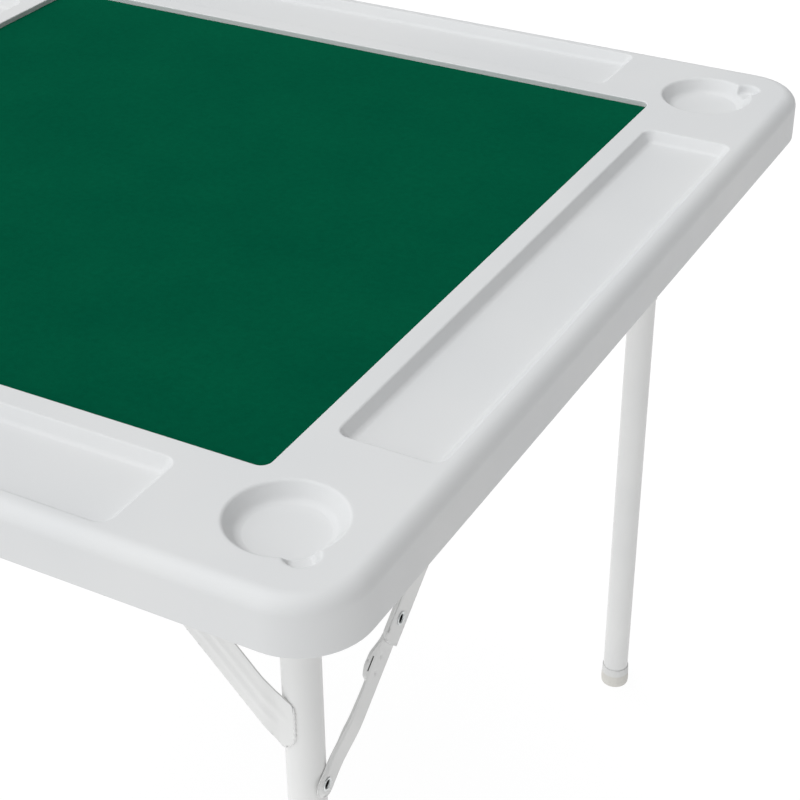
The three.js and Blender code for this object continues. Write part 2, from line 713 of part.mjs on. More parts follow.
/** The hollow rivet at the leg, which stops at the leg's surface. */
function legRivetGeometry() {
  const headStart = LOWER_LINK_OFFSET_AT_LEG + LINK_THICKNESS + GAP;
  const headEnd = headStart + RIVET_HEAD_THICKNESS;
  const shankStart = TUBE_RADIUS + GAP;
  return onStrutLine(turnedAcross([
    [RIVET_BORE_RADIUS, shankStart],
    [RIVET_RADIUS, shankStart],
    [RIVET_RADIUS, headStart],
    [RIVET_HEAD_RADIUS, headStart],
    [RIVET_HEAD_RADIUS, headEnd],
    [RIVET_BORE_RADIUS, headEnd],
    [RIVET_BORE_RADIUS, shankStart],
  ], -LOWER_LINK_LENGTH, 0));
}

/** The headed pin that carries a strut from a wall: the rail's in front, the bracket's behind. */
function strutPinGeometry(end) {
  const wall = end.sign > 0 ? RAIL_WALL : BRACKET_THICKNESS;
  const headEnd = UPPER_LINK_OFFSET - GAP;
  const collarStart = UPPER_LINK_OFFSET + LINK_THICKNESS + GAP;
  const collarEnd = RAIL_OFFSET - GAP;
  const tailStart = RAIL_OFFSET + wall + GAP;
  const tailEnd = tailStart + RIVET_HEAD_THICKNESS;
  return turnedAcross([
    [0, headEnd - PIN_HEAD_THICKNESS],
    [PIN_HEAD_RADIUS, headEnd - PIN_HEAD_THICKNESS],
    [PIN_HEAD_RADIUS, headEnd],
    [PIN_RADIUS, headEnd],
    [PIN_RADIUS, collarStart],
    [PIN_COLLAR_RADIUS, collarStart],
    [PIN_COLLAR_RADIUS, collarEnd],
    [PIN_RADIUS, collarEnd],
    [PIN_RADIUS, tailStart],
    [PIN_TAIL_RADIUS, tailStart],
    [PIN_TAIL_RADIUS, tailEnd],
    [0, tailEnd],
  ], PIVOT_Y + STRUT_REACH, PIVOT_Z);
}

// ---------------------------------------------------------------- assembly

add('tabletop', tabletopGeometry(), WHITE_PLASTIC);
add('felt_sheet', feltGeometry(), GREEN_FELT);
addRails();
addBrackets();
for (const end of ENDS) {
  add(`${end.name}_cross_tube`, crossTubeGeometry(end), WHITE_STEEL);
}
addAtCorners('leg', legGeometry, WHITE_STEEL);
addAtCorners('gusset', gussetGeometry, WHITE_STEEL);
addAtCorners('foot_cap', footCapGeometry, GREY_RUBBER);
addAtCorners('pivot_plug', plugGeometry, BLACK_NYLON);
addAtCorners('pivot_bolt', pivotBoltGeometry, ZINC_STEEL);
addAtCorners('strut_pin', strutPinGeometry, ZINC_STEEL);
addAtCorners('lower_link', lowerLinkGeometry, WHITE_STEEL);
addAtCorners('upper_link', upperLinkGeometry, WHITE_STEEL);
addAtCorners('elbow_rivet', elbowRivetGeometry, ZINC_STEEL);
addAtCorners('leg_rivet', legRivetGeometry, ZINC_STEEL);

export default table;
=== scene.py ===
"""A square folding games table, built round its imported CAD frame.

Shapes are worked out in millimetres and turned into metres when a mesh is made. A piece that
every corner has is drawn at the front right one, and mirrored to the others.
"""

import json
import math

import bmesh
import bpy
import numpy as np
from mathutils import Matrix, Vector, noise
from mathutils.geometry import delaunay_2d_cdt


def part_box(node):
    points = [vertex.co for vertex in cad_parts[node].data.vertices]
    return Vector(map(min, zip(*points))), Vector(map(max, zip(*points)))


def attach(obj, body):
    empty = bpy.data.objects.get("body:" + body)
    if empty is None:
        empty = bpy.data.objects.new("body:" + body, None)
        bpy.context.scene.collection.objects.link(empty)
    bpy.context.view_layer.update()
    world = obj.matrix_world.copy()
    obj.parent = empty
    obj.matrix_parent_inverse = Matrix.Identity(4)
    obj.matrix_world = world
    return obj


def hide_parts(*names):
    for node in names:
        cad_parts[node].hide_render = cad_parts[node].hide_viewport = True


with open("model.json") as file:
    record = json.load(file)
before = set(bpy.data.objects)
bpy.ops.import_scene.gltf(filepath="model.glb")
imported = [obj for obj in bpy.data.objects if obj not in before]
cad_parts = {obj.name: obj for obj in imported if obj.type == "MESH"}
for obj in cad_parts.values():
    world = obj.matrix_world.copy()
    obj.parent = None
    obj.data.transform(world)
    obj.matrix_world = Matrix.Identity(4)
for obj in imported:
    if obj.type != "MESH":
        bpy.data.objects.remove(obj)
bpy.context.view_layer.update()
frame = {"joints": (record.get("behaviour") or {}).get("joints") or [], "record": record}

MM = 0.001

# ---------------- camera

CAMERA_PLACE = (0.857, -1.1114, 1.3823)
CAMERA_YAW = 28.86
CAMERA_PITCH = 32.74
CAMERA_ROLL = -0.58
CAMERA_LENS = 81.12
SENSOR_WIDTH = 36


def add_object(name, data):
    thing = bpy.data.objects.new(name, data)
    bpy.context.scene.collection.objects.link(thing)
    return thing


def make_camera():
    data = bpy.data.cameras.new("camera")
    data.lens = CAMERA_LENS
    data.sensor_width = SENSOR_WIDTH
    camera = add_object("camera", data)
    turn = Matrix.Rotation(math.radians(CAMERA_YAW), 4, "Z")
    tilt = Matrix.Rotation(math.radians(90 - CAMERA_PITCH), 4, "X")
    roll = Matrix.Rotation(math.radians(CAMERA_ROLL), 4, "Z")
    camera.matrix_world = Matrix.Translation(CAMERA_PLACE) @ turn @ tilt @ roll
    bpy.context.scene.camera = camera


make_camera()

# ---------------- sizes read from the frame


def box_mm(node):
    low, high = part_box(node)
    return low / MM, high / MM


def place_mm(entries, name):
    """The place of the joint or mount with this name."""
    entry = next(entry for entry in entries if entry["name"] == name)
    return Vector(entry["pos_m"]) / MM


top_low, top_high = box_mm("tabletop")
felt_low, felt_high = box_mm("felt_sheet")
rail_low, rail_high = box_mm("side_rail_right")
cap_low, cap_high = box_mm("front_foot_cap_right")
leg_low, leg_high = box_mm("front_leg_right")
cross_low, cross_high = box_mm("front_cross_tube")
plug_low, plug_high = box_mm("front_pivot_plug_right")
bolt_low, bolt_high = box_mm("front_pivot_bolt_right")
gusset_low, gusset_high = box_mm("front_gusset_right")
tray_floor = place_mm(frame["record"]["mounts"], "tray_floor_front")
cup_floor = place_mm(frame["record"]["mounts"], "cup_floor_rear_right")
pivot = place_mm(frame["joints"], "front_leg_fold")
elbow = place_mm(frame["joints"], "front_elbow_right")
strut_head = place_mm(frame["joints"], "front_strut_right")

TOP_HALF = top_high.x
TOP_Z = top_high.z
SKIRT_Z = top_low.z
FELT_HALF = felt_high.x
LEG_X = {"front": (leg_low.x + leg_high.x) / 2}
LEG_X["rear"] = sum(corner.x for corner in box_mm("rear_leg_right")) / 2
TUBE_RADIUS = (leg_high.x - leg_low.x) / 2
UNDERSIDE_Z = rail_high.z + 0.3

# ---------------- sizes of the finer shapes

TOP_CORNER_RADIUS = 50
TOP_EDGE_FILLET = 12
SKIRT_THICKNESS = 18
SKIRT_EDGE_ROUND = 1.2
FIELD_HALF = FELT_HALF + 0.4
FIELD_CORNER_RADIUS = 8
FIELD_FLOOR_Z = felt_low.z - 0.2
TRAY_HALF_WIDTH = 39.75
TRAY_HALF_LENGTH = 271.5
TRAY_CORNER_RADIUS = 10
TRAY_WALL_RUN = 7.5
TRAY_LIP_ROUND = 2.6
TRAY_FLOOR_ROUND = 6.5
CUP_RADIUS = 40
CUP_FLOOR_RADIUS = 30.8
CUP_LIP_ROUND = 3.4
CUP_FLOOR_ROUND = 9
CUP_PATCH_RADIUS = 53.5
SCALLOP_RADIUS = 11.5
SCALLOP_FLOOR_RADIUS = 8
SCALLOP_DEPTH = 7
SCALLOP_LIP_ROUND = 3
SCALLOP_FLOOR_ROUND = 3.5
SCALLOP_BLEND = 3.0
KISS_OFF_PITCH = 58
KISS_OFF_COUNT = 11
KISS_OFF_RADIUS = 8.5
KISS_OFF_TOP_RADIUS = 5
KISS_OFF_DEPTH = 6
TUBE_WALL = 1.2
WELD_RADIUS = 1.9
LINK_THICKNESS = 2
LOWER_LINK_HALF_WIDTH = 10.3
LOWER_LINK_SHIFT = -1.3
UPPER_LINK_HALF_WIDTH = 11.5
UPPER_LINK_SHIFT = -0.2
UPPER_LINK_FLANGE = 12.6
FLANGE_DEPTH = 1.5
FLANGE_TURN = math.radians(32)
RIVET_HEAD_RADIUS = 5
RIVET_BORE_RADIUS = 3.2
RIVET_SHANK_RADIUS = 3.6
RIVET_HOLE_RADIUS = 3.7
PIN_RADIUS = 3.2
PIN_HOLE_RADIUS = 3.4
GUSSET_THICKNESS = 1.1
GUSSET_WIDTH = 29
GUSSET_STAND_OFF = 2.3
GUSSET_SLOPE = math.radians(47.3)
GUSSET_TIP_X = -6.5
GUSSET_HEEL_X = 1.0
GUSSET_HEEL_TOP_Z = 588
GUSSET_SHOULDER_Z = 596
GUSSET_CLEAR_OF_CROSS_Z = 669
GUSSET_ON_CROSS_Z = 683
GUSSET_RIB_PLACES = (-4.6, 4.2)
GUSSET_RIB_WIDTH = 2.3
GUSSET_RIB_HEIGHT = 0.75

STRUT_ANGLE = math.atan2(strut_head.z - elbow.z, strut_head.y - elbow.y)
UPPER_LINK_LENGTH = math.hypot(strut_head.z - elbow.z, strut_head.y - elbow.y)
LOWER_LINK_LENGTH = (elbow.y - pivot.y) / math.cos(STRUT_ANGLE)
LOWER_LINK_OFFSET_AT_LEG = TUBE_RADIUS + 0.3
LOWER_LINK_OFFSET = LOWER_LINK_OFFSET_AT_LEG + 3
UPPER_LINK_OFFSET = LOWER_LINK_OFFSET + LINK_THICKNESS + 0.3

FLOOR_GREY = 0.12
FLOOR_GLOW = 0.92
LIGHT_SIDE = (-0.76, -0.65, 0)
LIGHT_REACH = 0.85
SHADE_STRENGTH = 0.05
LIGHT_STRENGTH = 1.19
SUN_ENERGY = 1.4
SUN_WIDTH = math.radians(60)
SUN_DIRECTION = (0.15, 0.12, -0.98)

ENDS = {"front": 1, "rear": -1}
SIDES = {"left": -1, "right": 1}

# ---------------- outlines


def filleted(corners, steps=5):
    """A polyline through (x, y, radius) corners, each rounded by its radius."""
    line = []
    for i, (x, y, radius) in enumerate(corners):
        here = Vector((x, y))
        if radius == 0 or i in (0, len(corners) - 1):
            line.append((x, y))
            continue
        back = (Vector(corners[i - 1][:2]) - here).normalized()
        onward = (Vector(corners[i + 1][:2]) - here).normalized()
        half = back.angle(onward) / 2
        centre = here + (back + onward).normalized() * (radius / math.sin(half))
        reach = radius / math.tan(half)
        start = here + back * reach - centre
        finish = here + onward * reach - centre
        for step in range(steps + 1):
            line.append(tuple(centre + start.slerp(finish, step / steps) * radius))
    return line


def filleted_loop(corners, steps=4):
    """A closed outline with rounded corners."""
    return filleted([corners[-1], *corners, corners[0]], steps)[1:-1]


def rectangle_loop(low, high, radius, steps):
    """A rectangle between two corners, with its own corners rounded."""
    corners = (low, (high[0], low[1]), high, (low[0], high[1]))
    return filleted_loop([(*corner, radius) for corner in corners], steps)


def arc(centre, radius, start, finish, steps):
    """Points from the start angle to the finish angle, in degrees."""
    points = []
    for step in range(steps + 1):
        angle = math.radians(start + (finish - start) * step / steps)
        points.append((centre[0] + radius * math.cos(angle), centre[1] + radius * math.sin(angle)))
    return points


def circle(centre, radius, steps):
    return arc(centre, radius, 0, 360, steps)[:-1]


def rounded_rectangle(half_x, half_y, radius, corner_steps, side_steps, centre=(0, 0)):
    """The same number of points at every size, so that nested outlines can be bridged."""
    loop = []
    for quarter in range(4):
        sign_x = (1, -1, -1, 1)[quarter]
        sign_y = (1, 1, -1, -1)[quarter]
        middle = (
            centre[0] + sign_x * (half_x - radius),
            centre[1] + sign_y * (half_y - radius),
        )
        loop += arc(middle, radius, 90 * quarter, 90 * quarter + 90, corner_steps)
    full = []
    for i, here in enumerate(loop):
        full.append(here)
        if i % (corner_steps + 1) == corner_steps:
            onward = loop[(i + 1) % len(loop)]
            for step in range(1, side_steps):
                share = step / side_steps
                full.append(tuple(here[k] + (onward[k] - here[k]) * share for k in (0, 1)))
    return full


def even_odd(points, loops):
    """Which points lie inside an odd number of the closed loops."""
    points = np.array(points, float)
    inside = np.zeros(len(points), bool)
    for loop in loops:
        a = np.array(loop, float)
        b = np.roll(a, -1, axis=0)
        for (ax, ay), (bx, by) in zip(a, b):
            if ay == by:
                continue
            spans = (points[:, 1] > min(ay, by)) & (points[:, 1] <= max(ay, by))
            crossing = ax + (points[:, 1] - ay) * (bx - ax) / (by - ay)
            inside ^= spans & (points[:, 0] < crossing)
    return inside


def triangles_inside(points, loops):
    """Triangles over the points that fill the first loop and leave the others open."""
    edges = []
    for loop in loops:
        edges += list(zip(loop, loop[1:] + loop[:1]))
    vectors = [Vector(p) for p in points]
    _, _, faces, sources, _, _ = delaunay_2d_cdt(vectors, edges, [], 0, 1e-5)
    faces = [[sources[i][0] for i in face] for face in faces]
    middles = [sum((vectors[i] for i in face), Vector((0, 0))) / 3 for face in faces]
    kept = even_odd(middles, [[points[i] for i in loop] for loop in loops])
    return [face for face, keep in zip(faces, kept) if keep]


def finely(line, spacing, closed=True):
    """The same outline, or open line, with no side longer than the spacing."""
    fine = []
    for (ax, ay), (bx, by) in zip(line, line[1:] + (line[:1] if closed else [])):
        pieces = max(1, math.ceil(math.hypot(bx - ax, by - ay) / spacing))
        for k in range(pieces):
            share = k / pieces
            fine.append((ax + (bx - ax) * share, ay + (by - ay) * share))
    return fine if closed else [*fine, line[-1]]


def smooth(low, high, value):
    """Rises softly from 0 at the low value to 1 at the high one, or falls if they are swapped."""
    share = min(1, max(0, (value - low) / (high - low)))
    return share * share * (3 - 2 * share)


# ---------------- meshes


class Shell:
    """Points and faces of one piece, in millimetres."""

    def __init__(self):
        self.points = []
        self.faces = []

    def ring(self, points):
        start = len(self.points)
        self.points += [tuple(p) for p in points]
        return list(range(start, len(self.points)))

    def bridge(self, first, second):
        count = len(first)
        for i in range(count):
            j = (i + 1) % count
            self.faces.append((first[i], first[j], second[j], second[i]))

    def chain(self, rings, closed=False):
        for first, second in zip(rings, rings[1:] + (rings[:1] if closed else [])):
            self.bridge(first, second)

    def fan(self, ring, point):
        pole = self.ring([point])[0]
        for i in range(len(ring)):
            self.faces.append((ring[i], ring[(i + 1) % len(ring)], pole))

    def cap(self, *loops):
        """Fills between level rings: the first is the outline, and the others are holes."""
        used = [i for loop in loops for i in loop]
        place = {index: k for k, index in enumerate(used)}
        flat = [self.points[i][:2] for i in used]
        for face in triangles_inside(flat, [[place[i] for i in loop] for loop in loops]):
            self.faces.append(tuple(used[i] for i in face))

    def lathe(self, profile, sides, place, shape=None):
        """Turns (radius, height) points about an axis. place(x, y, height) gives the point.

        A profile may start or end on the axis. shape(k, angle) scales the radius of point k.
        """
        rings = []
        for k, (radius, height) in enumerate(profile):
            if radius == 0:
                continue
            ring = []
            for i in range(sides):
                angle = 2 * math.pi * i / sides
                reach = radius * (shape(k, angle) if shape else 1)
                ring.append(place(reach * math.cos(angle), reach * math.sin(angle), height))
            rings.append(self.ring(ring))
        self.chain(rings)
        for ring, (radius, height) in ((rings[0], profile[0]), (rings[-1], profile[-1])):
            if radius == 0:
                self.fan(ring, place(0, 0, height))
        return rings

    def sheet(self, outline, holes, bent, spacing, creases=()):
        """A sheet: a flat pattern, bent to shape by bent(u, v, side) for both its faces.

        Creases are extra points where the shape needs them.
        """
        loops = [finely(outline, spacing), *holes]
        self.two_faced(loops, inner_points(loops, spacing, creases), bent)

    def extrude(self, loops, low, high):
        """Extrudes an (x, z) outline with holes along Y."""
        self.two_faced(loops, [], lambda x, z, side: (x, (low, high)[side], z))

    def two_faced(self, loops, inner, place):
        """Two faces over the same points, joined at the loops. place(u, v, side) bends them."""
        flat = [p for loop in loops for p in loop] + inner
        index_loops = []
        start = 0
        for loop in loops:
            index_loops.append(list(range(start, start + len(loop))))
            start += len(loop)
        faces = triangles_inside(flat, index_loops)
        sides = [self.ring([place(u, v, side) for u, v in flat]) for side in (0, 1)]
        for side in sides:
            self.faces += [tuple(side[i] for i in face) for face in faces]
        for loop in index_loops:
            self.bridge([sides[0][i] for i in loop], [sides[1][i] for i in loop])

    def make(self, name, material, mirror=(1, 1), sharp=40):
        """The finished object, mirrored in X and Y by the signs given."""
        mesh = bpy.data.meshes.new(name)
        points = [(x * mirror[0] * MM, y * mirror[1] * MM, z * MM) for x, y, z in self.points]
        mesh.from_pydata(points, [], self.faces)
        work = bmesh.new()
        work.from_mesh(mesh)
        bmesh.ops.remove_doubles(work, verts=work.verts, dist=1e-7)
        bmesh.ops.recalc_face_normals(work, faces=work.faces)
        work.to_mesh(mesh)
        work.free()
        mesh.polygons.foreach_set("use_smooth", [True] * len(mesh.polygons))
        mesh.set_sharp_from_angle(angle=math.radians(sharp))
        mesh.materials.append(material)
        return add_object(name, mesh)


def inner_points(loops, spacing, creases):
    """A grid of points inside an outline, kept off its edges and off the creases."""
    edge = np.array([p for loop in loops for p in loop] + list(creases), float)
    low = edge.min(0)
    high = edge.max(0)
    counts = np.maximum(np.ceil((high - low) / spacing).astype(int), 1)
    grid = [
        (low[0] + (high[0] - low[0]) * (i + 0.5 * (j % 2)) / counts[0],
         low[1] + (high[1] - low[1]) * j / counts[1])
        for i in range(counts[0] + 1)
        for j in range(counts[1] + 1)
    ]
    inside = even_odd(grid, loops)
    kept = []
    for point, keep in zip(grid, inside):
        if keep and np.hypot(*(edge - point).T).min() > 0.55 * spacing:
            kept.append(point)
    return kept + list(creases)


def soften_edges(piece, width):
    """A small round on a sheet's cut edges."""
    bevel = piece.modifiers.new("edge", "BEVEL")
    bevel.width = width * MM
    bevel.segments = 2
    bevel.limit_method = "ANGLE"
    bevel.angle_limit = math.radians(50)


def smooth_flats(piece):
    weighted = piece.modifiers.new("flats", "WEIGHTED_NORMAL")
    weighted.keep_sharp = True


def settle(piece, body, slot, *nodes):
    """A finished piece rides its body, and takes the place of the CAD nodes named."""
    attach(piece, body)
    if nodes:
        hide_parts(*nodes)


# ---------------- materials


class Nodes:
    """A material's node tree, with short ways to add what is used here."""

    def __init__(self, name, colour, roughness, metallic=0.0):
        self.material = bpy.data.materials.new(name)
        self.material.use_nodes = True
        self.tree = self.material.node_tree
        self.shader = self.tree.nodes["Principled BSDF"]
        self.join = self.tree.links.new
        self.set("Base Color", (*colour, 1))
        self.set("Roughness", roughness)
        self.set("Metallic", metallic)
        self.place = self.add("TexCoord").outputs["Object"]

    def set(self, socket, value):
        self.shader.inputs[socket].default_value = value

    def link(self, source, socket):
        self.join(source, self.shader.inputs[socket])

    def add(self, kind, **values):
        """A new node of this kind, with its inputs set by name."""
        node = self.tree.nodes.new(f"ShaderNode{kind}")
        for name, value in values.items():
            node.inputs[name.replace("_", " ")].default_value = value
        return node

    def noise(self, size, detail=3.0, roughness=0.5, stretch=None):
        """Noise whose grain is about size metres."""
        texture = self.add("TexNoise", Scale=1 / size, Detail=detail, Roughness=roughness)
        source = self.place
        if stretch:
            mapping = self.add("Mapping", Scale=stretch)
            self.join(source, mapping.inputs["Vector"])
            source = mapping.outputs["Vector"]
        self.join(source, texture.inputs["Vector"])
        return texture.outputs["Fac"]

    def cells(self, size):
        texture = self.add("TexVoronoi", Scale=1 / size)
        self.join(self.place, texture.inputs["Vector"])
        return texture.outputs["Distance"]

    def ramp(self, source, *stops):
        """A ramp through (position, colour) stops, where a plain number is a grey."""
        ramp = self.add("ValToRGB")
        elements = ramp.color_ramp.elements
        while len(elements) < len(stops):
            elements.new(0.5)
        for element, (position, colour) in zip(elements, stops):
            element.position = position
            channels = (colour,) * 3 if isinstance(colour, float) else colour
            element.color = (*channels, 1)
        self.join(source, ramp.inputs["Fac"])
        return ramp.outputs["Color"]

    def span(self, source, low, high, from_low=0.3, from_high=0.7):
        """Maps a range, by default a texture's usual one, to the low and high given."""
        node = self.add("MapRange", From_Min=from_low, From_Max=from_high, To_Min=low, To_Max=high)
        self.join(source, node.inputs["Value"])
        return node.outputs["Result"]

    def larger(self, first, second):
        node = self.add("Math")
        node.operation = "MAXIMUM"
        self.join(first, node.inputs[0])
        self.join(second, node.inputs[1])
        return node.outputs["Value"]

    def multiply(self, first, second):
        """One colour times another, through the mix node's colour sockets."""
        node = self.add("Mix")
        node.data_type = "RGBA"
        node.blend_type = "MULTIPLY"
        node.inputs[0].default_value = 1.0
        self.join(first, node.inputs[6])
        self.join(second, node.inputs[7])
        return node.outputs[2]

    def bump(self, *layers):
        """Stacks (height source, depth in metres, strength) layers into the surface."""
        normal = None
        for source, depth, strength in layers:
            node = self.add("Bump", Distance=depth, Strength=strength)
            self.join(source, node.inputs["Height"])
            if normal is not None:
                self.join(normal, node.inputs["Normal"])
            normal = node.outputs["Normal"]
        self.link(normal, "Normal")


def plastic_material():
    """Blow-moulded polyethylene: a fine leathery grain, and long soft sinks."""
    nodes = Nodes("white_plastic", (0.66, 0.665, 0.67), 0.5)
    broad = nodes.noise(0.22, 2)
    grain = nodes.cells(0.0011)
    specks = nodes.noise(0.0006, 2)
    colour = nodes.ramp(broad, (0.35, (0.655, 0.662, 0.668)), (0.65, (0.685, 0.688, 0.688)))
    nodes.link(colour, "Base Color")
    nodes.link(nodes.span(nodes.noise(0.03, 4), 0.46, 0.56), "Roughness")
    nodes.bump(
        (nodes.noise(0.06, 1), 0.0006, 0.12),
        (grain, 0.00012, 0.22),
        (specks, 0.00006, 0.2),
    )
    nodes.set("Specular IOR Level", 0.35)
    return nodes.material


def felt_material():
    """Pressed green felt: matted fibres in all directions, with soft mottling and stray lint."""
    nodes = Nodes("green_felt", (0.0006, 0.08, 0.038), 1.0)
    mottle = nodes.noise(0.09, 4, 0.55)
    clumps = nodes.noise(0.006, 5, 0.7)
    fibres_a = nodes.noise(0.0011, 3, 0.7, (1, 5, 1))
    fibres_b = nodes.noise(0.0011, 3, 0.7, (5, 1, 1))
    fibres = nodes.larger(fibres_a, fibres_b)
    base = nodes.ramp(mottle, (0.3, (0.0004, 0.068, 0.0335)), (0.7, (0.0008, 0.078, 0.0375)))
    tufts = nodes.ramp(clumps, (0.3, 0.9), (0.7, 1.08))
    strands = nodes.ramp(fibres, (0.42, 0.8), (0.72, 1.15))
    nodes.link(nodes.multiply(nodes.multiply(base, tufts), strands), "Base Color")
    nodes.set("Specular IOR Level", 0.0)
    nodes.set("Sheen Weight", 0.12)
    nodes.set("Sheen Roughness", 0.6)
    nodes.set("Sheen Tint", (0.02, 0.5, 0.25, 1))
    nodes.bump((clumps, 0.0004, 0.35), (fibres, 0.0003, 0.55))
    return nodes.material


def powder_coat_material():
    """White powder coat on steel, with its orange peel."""
    nodes = Nodes("white_powder_coat", (0.7, 0.7, 0.695), 0.38)
    broad = nodes.noise(0.12, 3)
    tone = nodes.ramp(broad, (0.35, (0.735, 0.736, 0.73)), (0.65, (0.775, 0.774, 0.764)))
    nodes.link(tone, "Base Color")
    nodes.link(nodes.span(nodes.noise(0.02, 4), 0.34, 0.44), "Roughness")
    nodes.bump((nodes.noise(0.0022, 2), 0.0001, 0.25), (nodes.noise(0.0005, 1), 0.00003, 0.15))
    nodes.set("Coat Weight", 0.15)
    nodes.set("Coat Roughness", 0.25)
    return nodes.material


def foot_material():
    """Warm grey moulded plastic, paler above where the sleeve is thin over the white tube."""
    nodes = Nodes("foot_plastic", (0.6, 0.58, 0.54), 0.55)
    split = nodes.add("SeparateXYZ")
    nodes.join(nodes.place, split.inputs["Vector"])
    height = nodes.span(split.outputs["Z"], 0, 1, 0.0135, 0.0165)
    sleeve = nodes.ramp(height, (0.2, (0.68, 0.665, 0.625)), (0.8, (0.73, 0.73, 0.722)))
    grime = nodes.ramp(nodes.noise(0.004, 4), (0.3, 0.94), (0.7, 1.0))
    nodes.link(nodes.multiply(sleeve, grime), "Base Color")
    nodes.link(nodes.span(nodes.noise(0.003, 3), 0.5, 0.62), "Roughness")
    nodes.bump((nodes.noise(0.0008, 2), 0.00008, 0.3))
    return nodes.material


def zinc_material():
    """Bright zinc plate, with drawn lines and a little dulling."""
    nodes = Nodes("zinc_steel", (0.66, 0.68, 0.68), 0.3, 1.0)
    dulling = nodes.noise(0.002, 4)
    tone = nodes.ramp(dulling, (0.3, (0.5, 0.52, 0.52)), (0.7, (0.75, 0.77, 0.77)))
    nodes.link(tone, "Base Color")
    nodes.link(nodes.span(nodes.noise(0.0012, 3), 0.24, 0.42), "Roughness")
    nodes.bump((nodes.noise(0.0006, 2), 0.00004, 0.3))
    return nodes.material


def hole_shade_material():
    """Near-black dull steel: painted shade for the dark inside of rivet bores and the strut slot.
    """
    nodes = Nodes("hole_shade_steel", (0.03, 0.032, 0.03), 0.6, 0.4)
    nodes.link(nodes.ramp(nodes.noise(0.0015, 3), (0.3, 0.012), (0.7, 0.045)), "Base Color")
    nodes.bump((nodes.noise(0.0005, 2), 0.00004, 0.3))
    return nodes.material


def nylon_material():
    """Black nylon, a little scuffed."""
    nodes = Nodes("black_nylon", (0.03, 0.03, 0.032), 0.5)
    nodes.link(nodes.ramp(nodes.noise(0.003, 3), (0.3, 0.022), (0.7, 0.04)), "Base Color")
    nodes.link(nodes.span(nodes.noise(0.002, 3), 0.42, 0.6), "Roughness")
    nodes.bump((nodes.noise(0.0007, 2), 0.00006, 0.3))
    return nodes.material


PLASTIC = plastic_material()
FELT = felt_material()
POWDER_COAT = powder_coat_material()
FOOT_PLASTIC = foot_material()
ZINC = zinc_material()
# Near-black painted shade, used inside rivet bores and the strut slot.
HOLE_SHADE_STEEL = hole_shade_material()
NYLON = nylon_material()

# ---------------- top


def at_height(loop, z):
    return [(x, y, z) for x, y in loop]


def step_down(run, lip, floor_round, start, finish, depth):
    """Profile of a pocket wall, as (inset, drop): flat, lip, wall, floor round, flat."""
    return filleted([(start, 0, 0), (0, 0, lip), (run, depth, floor_round), (finish, depth, 0)], 6)


def sink_pocket(shell, outline_at, profile):
    """Sweeps a pocket's wall inward and down, fills its floor, and returns its mouth."""
    rings = [shell.ring(at_height(outline_at(inset), TOP_Z - drop)) for inset, drop in profile]
    shell.chain(rings)
    shell.cap(rings[-1])
    return rings[0]


def tray_outline(turn):
    """The front tray's outline, carried round the top by this many quarter turns."""

    def outline(inset):
        radius = max(TRAY_CORNER_RADIUS - inset, 2)
        half_length = TRAY_HALF_LENGTH - inset
        half_width = TRAY_HALF_WIDTH - inset
        loop = rounded_rectangle(half_length, half_width, radius, 8, 10, (0, tray_floor.y))
        angle = math.radians(90 * turn)
        return [
            (x * math.cos(angle) - y * math.sin(angle), x * math.sin(angle) + y * math.cos(angle))
            for x, y in loop
        ]

    return outline


def field_outline(inset):
    radius = max(FIELD_CORNER_RADIUS - inset, 2)
    return rounded_rectangle(FIELD_HALF - inset, FIELD_HALF - inset, radius, 8, 16)


def outer_outline(inset):
    radius = max(TOP_CORNER_RADIUS - inset, 6)
    return rounded_rectangle(TOP_HALF - inset, TOP_HALF - inset, radius, 14, 14)


def drop_table(outer, inner, lip, floor_round, depth):
    """Radii and drops of a round hollow, in rising order of radius."""
    corners = [
        (0, depth, 0),
        (inner, depth, floor_round),
        (outer, 0, lip),
        (2 * outer, 0, 0),
    ]
    line = filleted(corners, 8)
    return [p[0] for p in line], [p[1] for p in line]


CUP_DROPS = drop_table(
    CUP_RADIUS, CUP_FLOOR_RADIUS, CUP_LIP_ROUND, CUP_FLOOR_ROUND, TOP_Z - cup_floor.z
)
SCALLOP_DROPS = drop_table(
    SCALLOP_RADIUS, SCALLOP_FLOOR_RADIUS, SCALLOP_LIP_ROUND, SCALLOP_FLOOR_ROUND, SCALLOP_DEPTH
)


def cup_drop(x, y):
    """How far the cup and its scallop lie below the rim, for a scallop on the +X +Y diagonal."""
    reach = CUP_RADIUS / math.sqrt(2)
    cup = np.interp(math.hypot(x, y), *CUP_DROPS)
    scallop = np.interp(math.hypot(x - reach, y - reach), *SCALLOP_DROPS)
    if min(cup, scallop) < 1e-6:
        return max(cup, scallop)
    share = max(SCALLOP_BLEND - abs(cup - scallop), 0) / SCALLOP_BLEND
    return max(cup, scallop) + share * share * SCALLOP_BLEND / 4 * min(1, cup, scallop)


def cup_patch(shell, sign_x, sign_y):
    """A round patch of the rim with the cup holder in it. Returns its outline."""
    sides = 240
    radii = [CUP_PATCH_RADIUS - 0.6 * k for k in range(44)] + [25, 20, 14, 8, 3]
    rings = []
    for radius in radii:
        ring = []
        for x, y in circle((0, 0), radius, sides):
            z = TOP_Z - cup_drop(x * sign_x, y * sign_y)
            ring.append((x + sign_x * cup_floor.x, y + sign_y * cup_floor.y, z))
        rings.append(shell.ring(ring))
    shell.chain(rings)
    shell.fan(rings[-1], (sign_x * cup_floor.x, sign_y * cup_floor.y, cup_floor.z))
    return rings[0]


